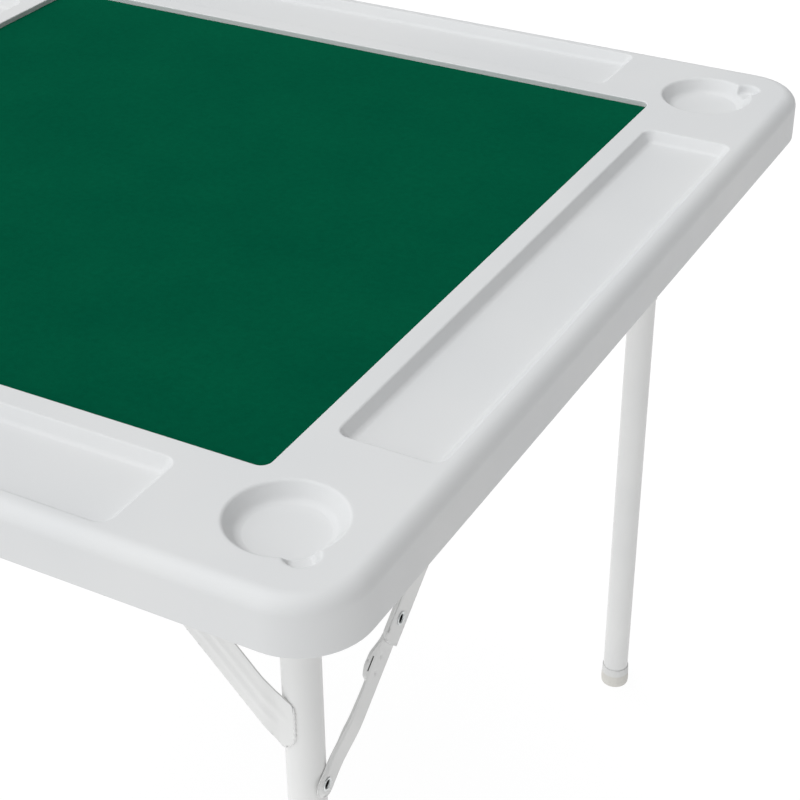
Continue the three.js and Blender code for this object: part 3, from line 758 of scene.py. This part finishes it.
def make_top():
    """The moulded top: rim and skirt, felt recess, trays and cups above, cones below."""
    shell = Shell()
    skin = TOP_EDGE_FILLET + 1
    profile = filleted(
        [
            (skin, TOP_Z, 0),
            (0, TOP_Z, TOP_EDGE_FILLET),
            (0, SKIRT_Z, SKIRT_EDGE_ROUND),
            (SKIRT_THICKNESS, SKIRT_Z, SKIRT_EDGE_ROUND),
            (SKIRT_THICKNESS, UNDERSIDE_Z, 4),
            (SKIRT_THICKNESS + 6, UNDERSIDE_Z, 0),
        ],
        9,
    )
    rings = [shell.ring(at_height(outer_outline(inset), z)) for inset, z in profile]
    shell.chain(rings)
    depth = TOP_Z - FIELD_FLOOR_Z
    field_wall = filleted([(-1.5, 0, 0), (0, 0, 1.0), (0, depth, 0.6), (6, depth, 0)], 4)
    mouths = [sink_pocket(shell, field_outline, field_wall)]
    depth = TOP_Z - tray_floor.z
    tray_wall = step_down(TRAY_WALL_RUN, TRAY_LIP_ROUND, TRAY_FLOOR_ROUND, -2.2, 16, depth)
    for turn in range(4):
        mouths.append(sink_pocket(shell, tray_outline(turn), tray_wall))
    for sign_x in (-1, 1):
        for sign_y in (-1, 1):
            mouths.append(cup_patch(shell, sign_x, sign_y))
    shell.cap(rings[0], *mouths)
    shell.cap(rings[-1], *kiss_offs(shell))
    piece = shell.make("moulded_top", PLASTIC)
    smooth_flats(piece)
    settle(piece, "root", "white_plastic", "tabletop")


def kiss_offs(shell):
    """Rows of cones where the under skin is pressed up to the upper skin."""
    run = KISS_OFF_RADIUS - KISS_OFF_TOP_RADIUS
    profile = step_down(run, 1.4, 1.2, -1.8, KISS_OFF_RADIUS - 1, KISS_OFF_DEPTH)
    mouths = []
    middle = (KISS_OFF_COUNT - 1) / 2
    for row in range(KISS_OFF_COUNT):
        for column in range(KISS_OFF_COUNT):
            centre = ((column - middle) * KISS_OFF_PITCH, (row - middle) * KISS_OFF_PITCH)
            rings = []
            for inset, drop in profile:
                loop = circle(centre, KISS_OFF_RADIUS - inset, 20)
                rings.append(shell.ring(at_height(loop, UNDERSIDE_Z + drop)))
            shell.chain(rings)
            shell.fan(rings[-1], (*centre, UNDERSIDE_Z + KISS_OFF_DEPTH))
            mouths.append(rings[0])
    return mouths


def make_felt():
    """The felt, laid in its recess: a thin sheet with a soft edge and a barely uneven face."""
    thickness = felt_high.z - felt_low.z
    outline = rounded_rectangle(FELT_HALF, FELT_HALF, FIELD_CORNER_RADIUS - 0.4, 8, 60)

    def laid(u, v, side):
        edge = min(FELT_HALF - abs(u), FELT_HALF - abs(v), 2.0) / 2.0
        swell = noise.noise(Vector((u, v, 0)) / 70) * 0.12
        swell += noise.noise(Vector((u, v, 9)) / 18) * 0.05
        rise = thickness * (0.72 + 0.28 * math.sqrt(max(edge, 0)))
        return (u, v, felt_low.z + side * (rise + swell * edge))

    shell = Shell()
    shell.sheet(outline, [], laid, 9)
    piece = shell.make("felt_playing_field", FELT)
    settle(piece, "root", "green_felt", "felt_sheet")


# ---------------- leg frames


def each_corner():
    """Each leg's end and side, with the signs that mirror it there from the front right."""
    for end, end_sign in ENDS.items():
        for side, side_sign in SIDES.items():
            yield end, side, (side_sign, end_sign)


def upright(x, y):
    """Places a turned piece on an upright axis."""

    def place(a, b, height):
        return (x + a, y + b, height)

    return place


def across(y, z, x=0):
    """Places a turned piece on an axis along X, with its heights counted from x."""

    def place(a, b, along):
        return (x + along, y + a, z + b)

    return place


def make_leg(end, side, mirror):
    """The leg tube: open below, and coped round the cross tube above."""
    shell = Shell()
    leg_x = LEG_X[end]
    rings = []
    for radius, coped in (
        (TUBE_RADIUS, False),
        (TUBE_RADIUS, True),
        (TUBE_RADIUS - TUBE_WALL, True),
        (TUBE_RADIUS - TUBE_WALL, False),
    ):
        ring = []
        for x, y in circle((0, 0), radius, 56):
            top = pivot.z - math.sqrt(max(TUBE_RADIUS**2 - y * y, 0))
            ring.append((leg_x + x, pivot.y + y, top if coped else leg_low.z))
        rings.append(shell.ring(ring))
    shell.chain(rings, closed=True)
    piece = shell.make(f"{end}_leg_tube_{side}", POWDER_COAT, mirror)
    settle(piece, f"{end}_leg_frame", "white_steel", f"{end}_leg_{side}")
    make_weld(end, side, mirror)


def bead_ring(centre, aside, over, thick):
    """Points round a weld bead's middle line."""
    return [centre + aside * a + over * b for a, b in circle((0, 0), thick, 8)]


def make_weld(end, side, mirror):
    """The weld bead round the joint of leg and cross tube."""
    shell = Shell()
    joint = Vector((LEG_X[end], pivot.y, pivot.z))
    rings = []
    for x, y in circle((0, 0), TUBE_RADIUS, 72):
        centre = joint + Vector((x, y, -math.sqrt(max(TUBE_RADIUS**2 - y * y, 0))))
        outward = Vector((x, y, 0)).normalized()
        along = Vector((-y, x, 0)).normalized()
        thick = WELD_RADIUS + 0.25 * math.sin(18 * math.atan2(y, x))
        rings.append(shell.ring(bead_ring(centre, outward, outward.cross(along), thick)))
    shell.chain(rings, closed=True)
    piece = shell.make(f"{end}_weld_{side}", POWDER_COAT, mirror)
    settle(piece, f"{end}_leg_frame", "white_steel")


def make_cross_tube(end, end_sign):
    """The tube that the frame turns on, with a small bevel at each end."""
    shell = Shell()
    inner = TUBE_RADIUS - TUBE_WALL
    profile = [
        (TUBE_RADIUS, cross_low.x + 0.4),
        (TUBE_RADIUS, cross_high.x - 0.4),
        (TUBE_RADIUS - 0.4, cross_high.x),
        (inner, cross_high.x),
        (inner, cross_low.x),
        (TUBE_RADIUS - 0.4, cross_low.x),
    ]
    rings = shell.lathe(profile, 56, across(pivot.y, pivot.z))
    shell.bridge(rings[-1], rings[0])
    piece = shell.make(f"{end}_cross_bar", POWDER_COAT, (1, end_sign))
    settle(piece, f"{end}_leg_frame", "white_steel", f"{end}_cross_tube")


def make_foot_cap(end, side, mirror):
    """The foot: a sleeve that widens downward to a rounded sole with a shallow hollow."""
    shell = Shell()
    radius = (cap_high.x - cap_low.x) / 2
    top = cap_high.z
    profile = filleted(
        [
            (0, 0.8, 0),
            (7, 0.8, 0.4),
            (8, 0, 0.4),
            (radius - 0.5, 0, 1.6),
            (radius, 6, 3),
            (radius - 0.35, 14, 3),
            (TUBE_RADIUS + 0.85, top - 0.4, 0.4),
            (TUBE_RADIUS + 0.1, top, 0.2),
            (TUBE_RADIUS + 0.1, leg_low.z, 0.4),
            (0, leg_low.z, 0),
        ],
        5,
    )
    shell.lathe(profile, 56, upright(LEG_X[end], pivot.y))
    piece = shell.make(f"{end}_foot_{side}", FOOT_PLASTIC, mirror, 60)
    settle(piece, f"{end}_leg_frame", "foot_plastic", f"{end}_foot_cap_{side}")


def make_plug(end, side, mirror):
    """The bushing in the end of the cross tube, with its rim."""
    shell = Shell()
    body = TUBE_RADIUS - TUBE_WALL - 0.3
    bore = 4.3
    profile = [
        (bore, plug_low.x),
        (body - 0.6, plug_low.x),
        (body, plug_low.x + 0.6),
        (body, cross_high.x + 0.1),
        (TUBE_RADIUS - 0.3, cross_high.x + 0.1),
        (TUBE_RADIUS, cross_high.x + 0.5),
        (TUBE_RADIUS - 0.3, plug_high.x),
        (bore, plug_high.x),
    ]
    rings = shell.lathe(profile, 40, across(pivot.y, pivot.z))
    shell.bridge(rings[-1], rings[0])
    piece = shell.make(f"{end}_plug_{side}", NYLON, mirror)
    settle(piece, f"{end}_leg_frame", "black_nylon", f"{end}_pivot_plug_{side}")


def hexagon(first, last):
    """A shape for a lathe that is six-sided between two of its profile points."""

    def reach(k, angle):
        if not first <= k <= last:
            return 1
        turn = (angle + math.pi / 6) % (math.pi / 3) - math.pi / 6
        return math.cos(math.pi / 6) / math.cos(turn)

    return reach


def make_pivot_bolt(end, side, mirror):
    """The bolt through the rail that the frame turns on."""
    shell = Shell()
    head = rail_high.x + 0.1
    end_x = bolt_high.x
    profile = [
        (0, bolt_low.x),
        (3.2, bolt_low.x),
        (4, bolt_low.x + 0.8),
        (4, head),
        (7.4, head),
        (7.4, end_x - 0.5),
        (6.6, end_x),
        (0, end_x),
    ]
    shell.lathe(profile, 36, across(pivot.y, pivot.z), hexagon(4, 5))
    piece = shell.make(f"{end}_hinge_bolt_{side}", ZINC, mirror)
    settle(piece, "root", "zinc_steel", f"{end}_pivot_bolt_{side}")


def make_gusset(end, side, mirror):
    """A pressed steel strip from leg to cross tube, with two ribs and edges bent back a little."""
    slope = Vector((-math.cos(GUSSET_SLOPE), math.sin(GUSSET_SLOPE)))
    square = Vector((slope.y, -slope.x))
    tip = Vector((GUSSET_TIP_X, gusset_low.z))
    top_z = gusset_high.z
    run_low = (top_z - tip.y) / slope.y
    low_far = tip + slope * run_low
    level_width = GUSSET_WIDTH / slope.y
    shoulder_x = tip.x + level_width - (GUSSET_SHOULDER_Z - tip.y) / math.tan(GUSSET_SLOPE)
    outline = filleted_loop(
        [
            (tip.x, tip.y, 2.5),
            (GUSSET_HEEL_X, tip.y + 9, 5),
            (GUSSET_HEEL_X, GUSSET_HEEL_TOP_Z, 4),
            (shoulder_x, GUSSET_SHOULDER_Z, 5),
            (low_far.x + level_width, top_z, 3),
            (low_far.x, top_z, 3),
        ],
        6,
    )

    def pressed(u, v, side_number):
        offset = Vector((u, v)) - tip
        along = offset.dot(slope)
        aside = offset.dot(square) - GUSSET_WIDTH / 2
        free = smooth(-9, -22, u) * smooth(GUSSET_ON_CROSS_Z, GUSSET_CLEAR_OF_CROSS_Z, v)
        stand = 0.15 + (GUSSET_STAND_OFF - 0.15) * free
        ribs = sum(
            math.exp(-(((aside - middle) / GUSSET_RIB_WIDTH) ** 2)) for middle in GUSSET_RIB_PLACES
        )
        lengthwise = smooth(14, 26, along) * smooth(run_low - 20, run_low - 34, along)
        rise = GUSSET_RIB_HEIGHT * ribs * lengthwise
        turned = 0.3 * smooth(GUSSET_WIDTH / 2 - 1.2, GUSSET_WIDTH / 2 - 0.2, abs(aside)) * free
        y = pivot.y - TUBE_RADIUS - stand - rise + turned
        return (LEG_X[end] + u, y - GUSSET_THICKNESS * side_number, v)

    shell = Shell()
    shell.sheet(outline, [], pressed, 1.7)
    piece = shell.make(f"{end}_brace_{side}", POWDER_COAT, mirror, 55)
    soften_edges(piece, 0.35)
    settle(piece, f"{end}_leg_frame", "white_steel", f"{end}_gusset_{side}")


def make_gusset_weld(end, side, mirror):
    """The weld bead down the gusset's edge on the front of the leg, with one thin place."""
    low = gusset_low.z
    edge = GUSSET_HEEL_X + 0.5
    line = filleted([(edge, GUSSET_HEEL_TOP_Z - 1, 0), (edge, low + 9.6, 4), (-5, low + 1.2, 0)])
    path = finely(line, 0.7, closed=False)
    over = Vector((0, -1, 0))
    shell = Shell()
    rings = []
    for k, (x, z) in enumerate(path):
        share = k / (len(path) - 1)
        thick = 0.25 + 1.05 * smooth(0, 0.12, share) * smooth(1, 0.9, share)
        thick *= 0.8 + 0.2 * math.sin(0.9 * k) - 0.55 * math.exp(-(((share - 0.72) / 0.03) ** 2))
        ahead = path[min(k + 1, len(path) - 1)]
        behind = path[max(k - 1, 0)]
        along = Vector((ahead[0] - behind[0], 0, ahead[1] - behind[1])).normalized()
        y = pivot.y - math.sqrt(TUBE_RADIUS**2 - x * x) - 0.5
        centre = Vector((LEG_X[end] + x, y, z))
        rings.append(shell.ring(bead_ring(centre, along.cross(over), over, thick)))
    shell.chain(rings)
    for end_ring in (rings[0], rings[-1]):
        middle = sum((Vector(shell.points[i]) for i in end_ring), Vector()) / len(end_ring)
        shell.fan(end_ring, middle)
    piece = shell.make(f"{end}_brace_weld_{side}", POWDER_COAT, mirror)
    settle(piece, f"{end}_leg_frame", "white_steel")


# ---------------- folding struts


def on_strut(leg_x, start=0):
    """Places (along, aside, sideways) on the strut's line, from its start toward the rail.

    The start is counted from the elbow.
    """
    cosine = math.cos(STRUT_ANGLE)
    sine = math.sin(STRUT_ANGLE)

    def place(along, aside, sideways):
        reach = start + along
        y = elbow.y + reach * cosine - aside * sine
        z = elbow.z + reach * sine + aside * cosine
        return (leg_x + sideways, y, z)

    return place


def make_lower_link(end, side, mirror):
    """The lower link: joggled out from the leg, with a slotted ear on its upper edge.

    Its upper edge and its lower end turn in to a lip.
    """
    place = on_strut(LEG_X[end])
    foot = -LOWER_LINK_LENGTH
    half = LOWER_LINK_HALF_WIDTH
    shift = LOWER_LINK_SHIFT
    top = shift + half
    ear = filleted(
        [
            (-12, top, 0),
            (-20, top + 2, 6),
            (-31, top + 8, 9),
            (-40.5, top + 8.4, 5),
            (-47, top + 5, 4),
            (-48.8, top, 0.6),
            (-56, top, 0),
        ],
        6,
    )
    outline = arc((0, shift), half, -90, 90, 14) + ear + arc((foot, shift), half, 90, 270, 18)
    slot = rectangle_loop((-43, top + 3.6), (-32, top + 4.9), 0.5, 3)
    holes = [circle((along, 0), RIVET_HOLE_RADIUS, 20) for along in (0, foot)] + [slot]

    def lip(u, v, side_number):
        """How far the edge turns in. Near the leg only the outer face does."""
        if u < foot:
            edge = half - math.hypot(u - foot, v - shift)
        else:
            edge = top - v
        depth = 1.3 + 0.3 * smooth(-98, -114, u)
        depth *= max(side_number, smooth(foot + 26, foot + 40, u))
        return depth * smooth(3.6, 0.3, edge) * smooth(-54, -100, u) * smooth(-9.5, -6.5, v)

    def formed(u, v, side_number):
        sideways = LOWER_LINK_OFFSET_AT_LEG
        sideways += (LOWER_LINK_OFFSET - LOWER_LINK_OFFSET_AT_LEG) * smooth(-110, -73, u)
        past = max(v - top, 0)
        dimples = sum(
            math.exp(-((u - a) ** 2 + (v - b) ** 2) / 2.6) for a, b in ((-29, 1.5), (-41, 0.8))
        )
        sideways -= lip(u, v, side_number) + 0.12 * past * smooth(0, 2.5, past)
        sideways -= 0.9 * dimples * side_number
        return place(u, v, sideways + LINK_THICKNESS * side_number)

    shell = Shell()
    shell.sheet(outline, holes, formed, 1.1)
    piece = shell.make(f"{end}_strut_lower_{side}", POWDER_COAT, mirror, 50)
    soften_edges(piece, 0.45)
    settle(piece, f"{end}_lower_strut_{side}", "white_steel", f"{end}_lower_link_{side}")

    # A near-black plate just inside the slot: painted shade, so the slot reads dark and does not
    # show through.
    def slot_shade_place(u, v, side_number):
        return place(u, v, LOWER_LINK_OFFSET + LINK_THICKNESS - 1.3 + side_number)

    shell = Shell()
    shell.sheet(slot, [], slot_shade_place, 2)
    piece = shell.make(f"{end}_strut_slot_{side}", HOLE_SHADE_STEEL, mirror)
    settle(piece, f"{end}_lower_strut_{side}", "zinc_steel")


def make_upper_link(end, side, mirror):
    """The upper link: a flat web, with a groove and a shallow flange along its upper edge."""
    place = on_strut(LEG_X[end])
    half = UPPER_LINK_HALF_WIDTH
    low = UPPER_LINK_SHIFT - half
    bend_radius = 0.6
    bend_start = UPPER_LINK_FLANGE - bend_radius
    bend_length = bend_radius * FLANGE_TURN
    flange_end = bend_start + bend_length + FLANGE_DEPTH
    groove_middle = UPPER_LINK_FLANGE - 1.1
    head = UPPER_LINK_LENGTH
    outline = filleted_loop(
        [
            (-17.8, low, 0.6),
            (-19.3, 1.6, 1.2),
            (-18.2, bend_start, 1),
            (-17, bend_start + bend_length, 0.5),
            (-13.6, flange_end, 1),
            (149, flange_end, 2),
            (153, bend_start + 0.6, 1),
            (head - 8, UPPER_LINK_SHIFT + half, 1),
        ],
        4,
    )[:-1]
    outline += arc((head, UPPER_LINK_SHIFT), half, 80, -90, 14)
    holes = [circle((0, 0), RIVET_HOLE_RADIUS, 20), circle((head, 0), PIN_HOLE_RADIUS, 20)]
    creases = []
    for row in range(-2, 3):
        creases += [(-12.5 + 1.5 * k, groove_middle + 0.4 * row) for k in range(108)]

    def folded(u, v, side_number):
        groove = math.exp(-(((v - groove_middle) / 0.65) ** 2)) * smooth(-15, -12, u) * side_number
        face = UPPER_LINK_OFFSET + LINK_THICKNESS * side_number
        flat = min(v, bend_start)
        turn = min(max(v - bend_start, 0) / bend_length, 1) * FLANGE_TURN
        past = max(v - bend_start - bend_length, 0)
        aside = flat + bend_radius * math.sin(turn) + past * math.cos(turn)
        sunk = 1.75 * groove + bend_radius * (1 - math.cos(turn)) + past * math.sin(turn)
        return place(u, aside, face - sunk)

    shell = Shell()
    shell.sheet(outline, holes, folded, 1.6, creases)
    piece = shell.make(f"{end}_strut_upper_{side}", POWDER_COAT, mirror, 50)
    soften_edges(piece, 0.35)
    settle(piece, f"{end}_upper_strut_{side}", "white_steel", f"{end}_upper_link_{side}")


def rivet_head(face):
    """The rolled head of a hollow rivet on a face, from its rim in to its bore."""
    return [
        (RIVET_HEAD_RADIUS, face, 0.1),
        (RIVET_HEAD_RADIUS, face + 0.6, 0.3),
        (RIVET_HEAD_RADIUS - 0.6, face + 0.9, 0.3),
        (RIVET_BORE_RADIUS + 0.3, face + 0.7, 0.3),
        (RIVET_BORE_RADIUS, face - 0.2, 0.4),
        (RIVET_BORE_RADIUS, face - 1.6, 0),
    ]


def make_rivet(name, place, start, face, body, node, mirror):
    """A hollow rivet, and a near-black lining inside its bore: painted shade for the dark hole."""
    shell = Shell()
    shank = RIVET_SHANK_RADIUS
    profile = filleted([(RIVET_BORE_RADIUS, start, 0), (shank, start, 0.2), (shank, face, 0.1)], 3)
    profile += filleted([(shank, face, 0), *rivet_head(face)], 4)[1:]
    rings = shell.lathe(profile, 32, place)
    shell.bridge(rings[-1], rings[0])
    piece = shell.make(name, ZINC, mirror)
    settle(piece, body, "zinc_steel", node)
    # The bore lining is painted shade: a near-black sheet where the hollow rivet is only dark from
    # shadow.
    shell = Shell()
    reach = RIVET_BORE_RADIUS - 0.05
    shell.lathe([(reach, face - 0.5), (reach, start + 0.3), (0, start + 0.3)], 24, place)
    bore = shell.make(f"{name}_bore", HOLE_SHADE_STEEL, mirror)
    settle(bore, body, "zinc_steel")


def make_rivets(end, side, mirror):
    """The rivet at the elbow, and the one that meets the leg."""
    make_rivet(
        f"{end}_elbow_joint_{side}",
        on_strut(LEG_X[end]),
        LOWER_LINK_OFFSET - 0.6,
        UPPER_LINK_OFFSET + LINK_THICKNESS,
        f"{end}_upper_strut_{side}",
        f"{end}_elbow_rivet_{side}",
        mirror,
    )
    make_rivet(
        f"{end}_leg_joint_{side}",
        on_strut(LEG_X[end], -LOWER_LINK_LENGTH),
        TUBE_RADIUS + 0.15,
        LOWER_LINK_OFFSET_AT_LEG + LINK_THICKNESS,
        f"{end}_lower_strut_{side}",
        f"{end}_leg_rivet_{side}",
        mirror,
    )


def make_strut_pin(end, side, mirror):
    """The headed pin that carries the strut, with its collar against the rail or bracket."""
    pin_low, pin_high = box_mm(f"{end}_strut_pin_right")
    wall = rail_low.x - LEG_X["front"]
    start = pin_low.x - LEG_X[end]
    finish = pin_high.x - LEG_X[end]
    link = UPPER_LINK_OFFSET
    profile = filleted(
        [
            (0, start, 0),
            (4.6, start, 1.2),
            (6, start + 1.4, 0.2),
            (6, link - 0.1, 0.1),
            (PIN_RADIUS, link - 0.1, 0.1),
            (PIN_RADIUS, link + LINK_THICKNESS + 0.1, 0.1),
            (7, link + LINK_THICKNESS + 0.1, 0.3),
            (7, wall, 0.3),
            (PIN_RADIUS, wall, 0.1),
            (PIN_RADIUS, finish - 1.2, 0.1),
            (5.5, finish - 1.2, 0.3),
            (4.6, finish, 0.5),
            (0, finish, 0),
        ],
        3,
    )
    shell = Shell()
    shell.lathe(profile, 32, across(strut_head.y, strut_head.z, LEG_X[end]))
    piece = shell.make(f"{end}_strut_post_{side}", ZINC, mirror)
    settle(piece, "root", "zinc_steel", f"{end}_strut_pin_{side}")


# ---------------- rails, brackets, screws


def make_rail(side, side_sign):
    """The hollow rail along one side, under the top."""
    wall = 1.6
    low = (rail_low.x, rail_low.z)
    high = (rail_high.x, rail_high.z)
    outer = rectangle_loop(low, high, 2.4, 5)
    inner = rectangle_loop([c + wall for c in low], [c - wall for c in high], 0.9, 5)
    shell = Shell()
    shell.extrude([outer, inner], rail_low.y, rail_high.y)
    piece = shell.make(f"rail_{side}", POWDER_COAT, (side_sign, 1))
    settle(piece, "root", "white_steel", f"side_rail_{side}")


def make_bracket(side, side_sign):
    """The bent sheet bracket that carries a rear strut."""
    low, high = box_mm("strut_bracket_right")
    sheet = 2
    section = filleted_loop(
        [
            (low.x, low.z, 0.4),
            (low.x + sheet, low.z, 0.4),
            (low.x + sheet, high.z - sheet, 0.8),
            (high.x, high.z - sheet, 0.4),
            (high.x, high.z, 0.4),
            (low.x, high.z, 1.8),
        ],
        4,
    )
    shell = Shell()
    shell.extrude([section], low.y, high.y)
    piece = shell.make(f"bracket_{side}", POWDER_COAT, (side_sign, 1))
    soften_edges(piece, 0.3)
    settle(piece, "root", "white_steel", f"strut_bracket_{side}")


def cross_recess(first, last):
    """A shape for a lathe that is a plain four-armed driver recess between profile points."""

    def reach(k, angle):
        if not first <= k <= last:
            return 1
        turn = abs((angle + math.pi / 4) % (math.pi / 2) - math.pi / 4)
        return 0.28 + 0.72 * smooth(0.5, 0.2, turn)

    return reach


def make_screw(node, name):
    """A pan-head screw, driven up from below, with a plain cross recess."""
    low, high = box_mm(node)
    centre = (low + high) / 2
    radius = (high.x - low.x) / 2
    shank = radius * 0.48
    bottom = low.z
    profile = [
        (0, bottom + 1.0),
        (radius * 0.34, bottom + 0.9),
        (radius * 0.5, bottom + 0.02),
        (radius * 0.72, bottom),
        (radius * 0.92, bottom + 0.45),
        (radius, bottom + 1.1),
        (radius, bottom + 1.9),
        (shank, bottom + 1.9),
        (shank, high.z - 2),
        (0, high.z),
    ]
    shell = Shell()
    shell.lathe(profile, 40, upright(centre.x, centre.y), cross_recess(1, 2))
    piece = shell.make(name, ZINC)
    settle(piece, "root", "zinc_steel", node)


# ---------------- floor and light


def make_floor():
    """A matt floor with a glow of its own, so that it stays near white."""
    bpy.ops.mesh.primitive_plane_add(size=60)
    floor = bpy.context.object
    floor.name = "floor"
    nodes = Nodes("floor_white", (FLOOR_GREY, FLOOR_GREY, FLOOR_GREY), 0.9)
    nodes.set("Specular IOR Level", 0.0)
    nodes.set("Emission Color", (1, 1, 1, 1))
    nodes.set("Emission Strength", FLOOR_GLOW)
    floor.data.materials.append(nodes.material)


def make_light():
    """A pale studio, brighter to the front and left, under a broad overhead light."""
    world = bpy.data.worlds.new("studio")
    bpy.context.scene.world = world
    world.use_nodes = True
    tree = world.node_tree
    background = tree.nodes["Background"]
    background.inputs["Color"].default_value = (0.975, 0.99, 1, 1)
    direction = tree.nodes.new("ShaderNodeTexCoord").outputs["Generated"]
    toward_light = tree.nodes.new("ShaderNodeVectorMath")
    toward_light.operation = "DOT_PRODUCT"
    toward_light.inputs[1].default_value = LIGHT_SIDE
    tree.links.new(direction, toward_light.inputs[0])
    strength = tree.nodes.new("ShaderNodeMapRange")
    strength.inputs["From Min"].default_value = -LIGHT_REACH
    strength.inputs["From Max"].default_value = LIGHT_REACH
    strength.inputs["To Min"].default_value = SHADE_STRENGTH
    strength.inputs["To Max"].default_value = LIGHT_STRENGTH
    tree.links.new(toward_light.outputs["Value"], strength.inputs["Value"])
    tree.links.new(strength.outputs["Result"], background.inputs["Strength"])
    overhead = bpy.data.lights.new("overhead", "SUN")
    overhead.energy = SUN_ENERGY
    overhead.angle = SUN_WIDTH
    lamp = add_object("overhead", overhead)
    lamp.rotation_euler = Vector(SUN_DIRECTION).to_track_quat("-Z", "Y").to_euler()


# ---------------- assembly

make_top()
make_felt()
for end_name, end_mirror in ENDS.items():
    make_cross_tube(end_name, end_mirror)
for corner in each_corner():
    make_leg(*corner)
    make_foot_cap(*corner)
    make_plug(*corner)
    make_pivot_bolt(*corner)
    make_gusset(*corner)
    make_gusset_weld(*corner)
    make_lower_link(*corner)
    make_upper_link(*corner)
    make_rivets(*corner)
    make_strut_pin(*corner)
for side_name, side_mirror in SIDES.items():
    make_rail(side_name, side_mirror)
    make_bracket(side_name, side_mirror)
    for number in (1, 2, 3):
        make_screw(f"rail_screw_{side_name}_{number}", f"rail_fixing_{side_name}_{number}")
    for number in (1, 2):
        make_screw(f"bracket_screw_{side_name}_{number}", f"bracket_fixing_{side_name}_{number}")
make_floor()
make_light()
bpy.context.scene.view_settings.view_transform = "Standard"
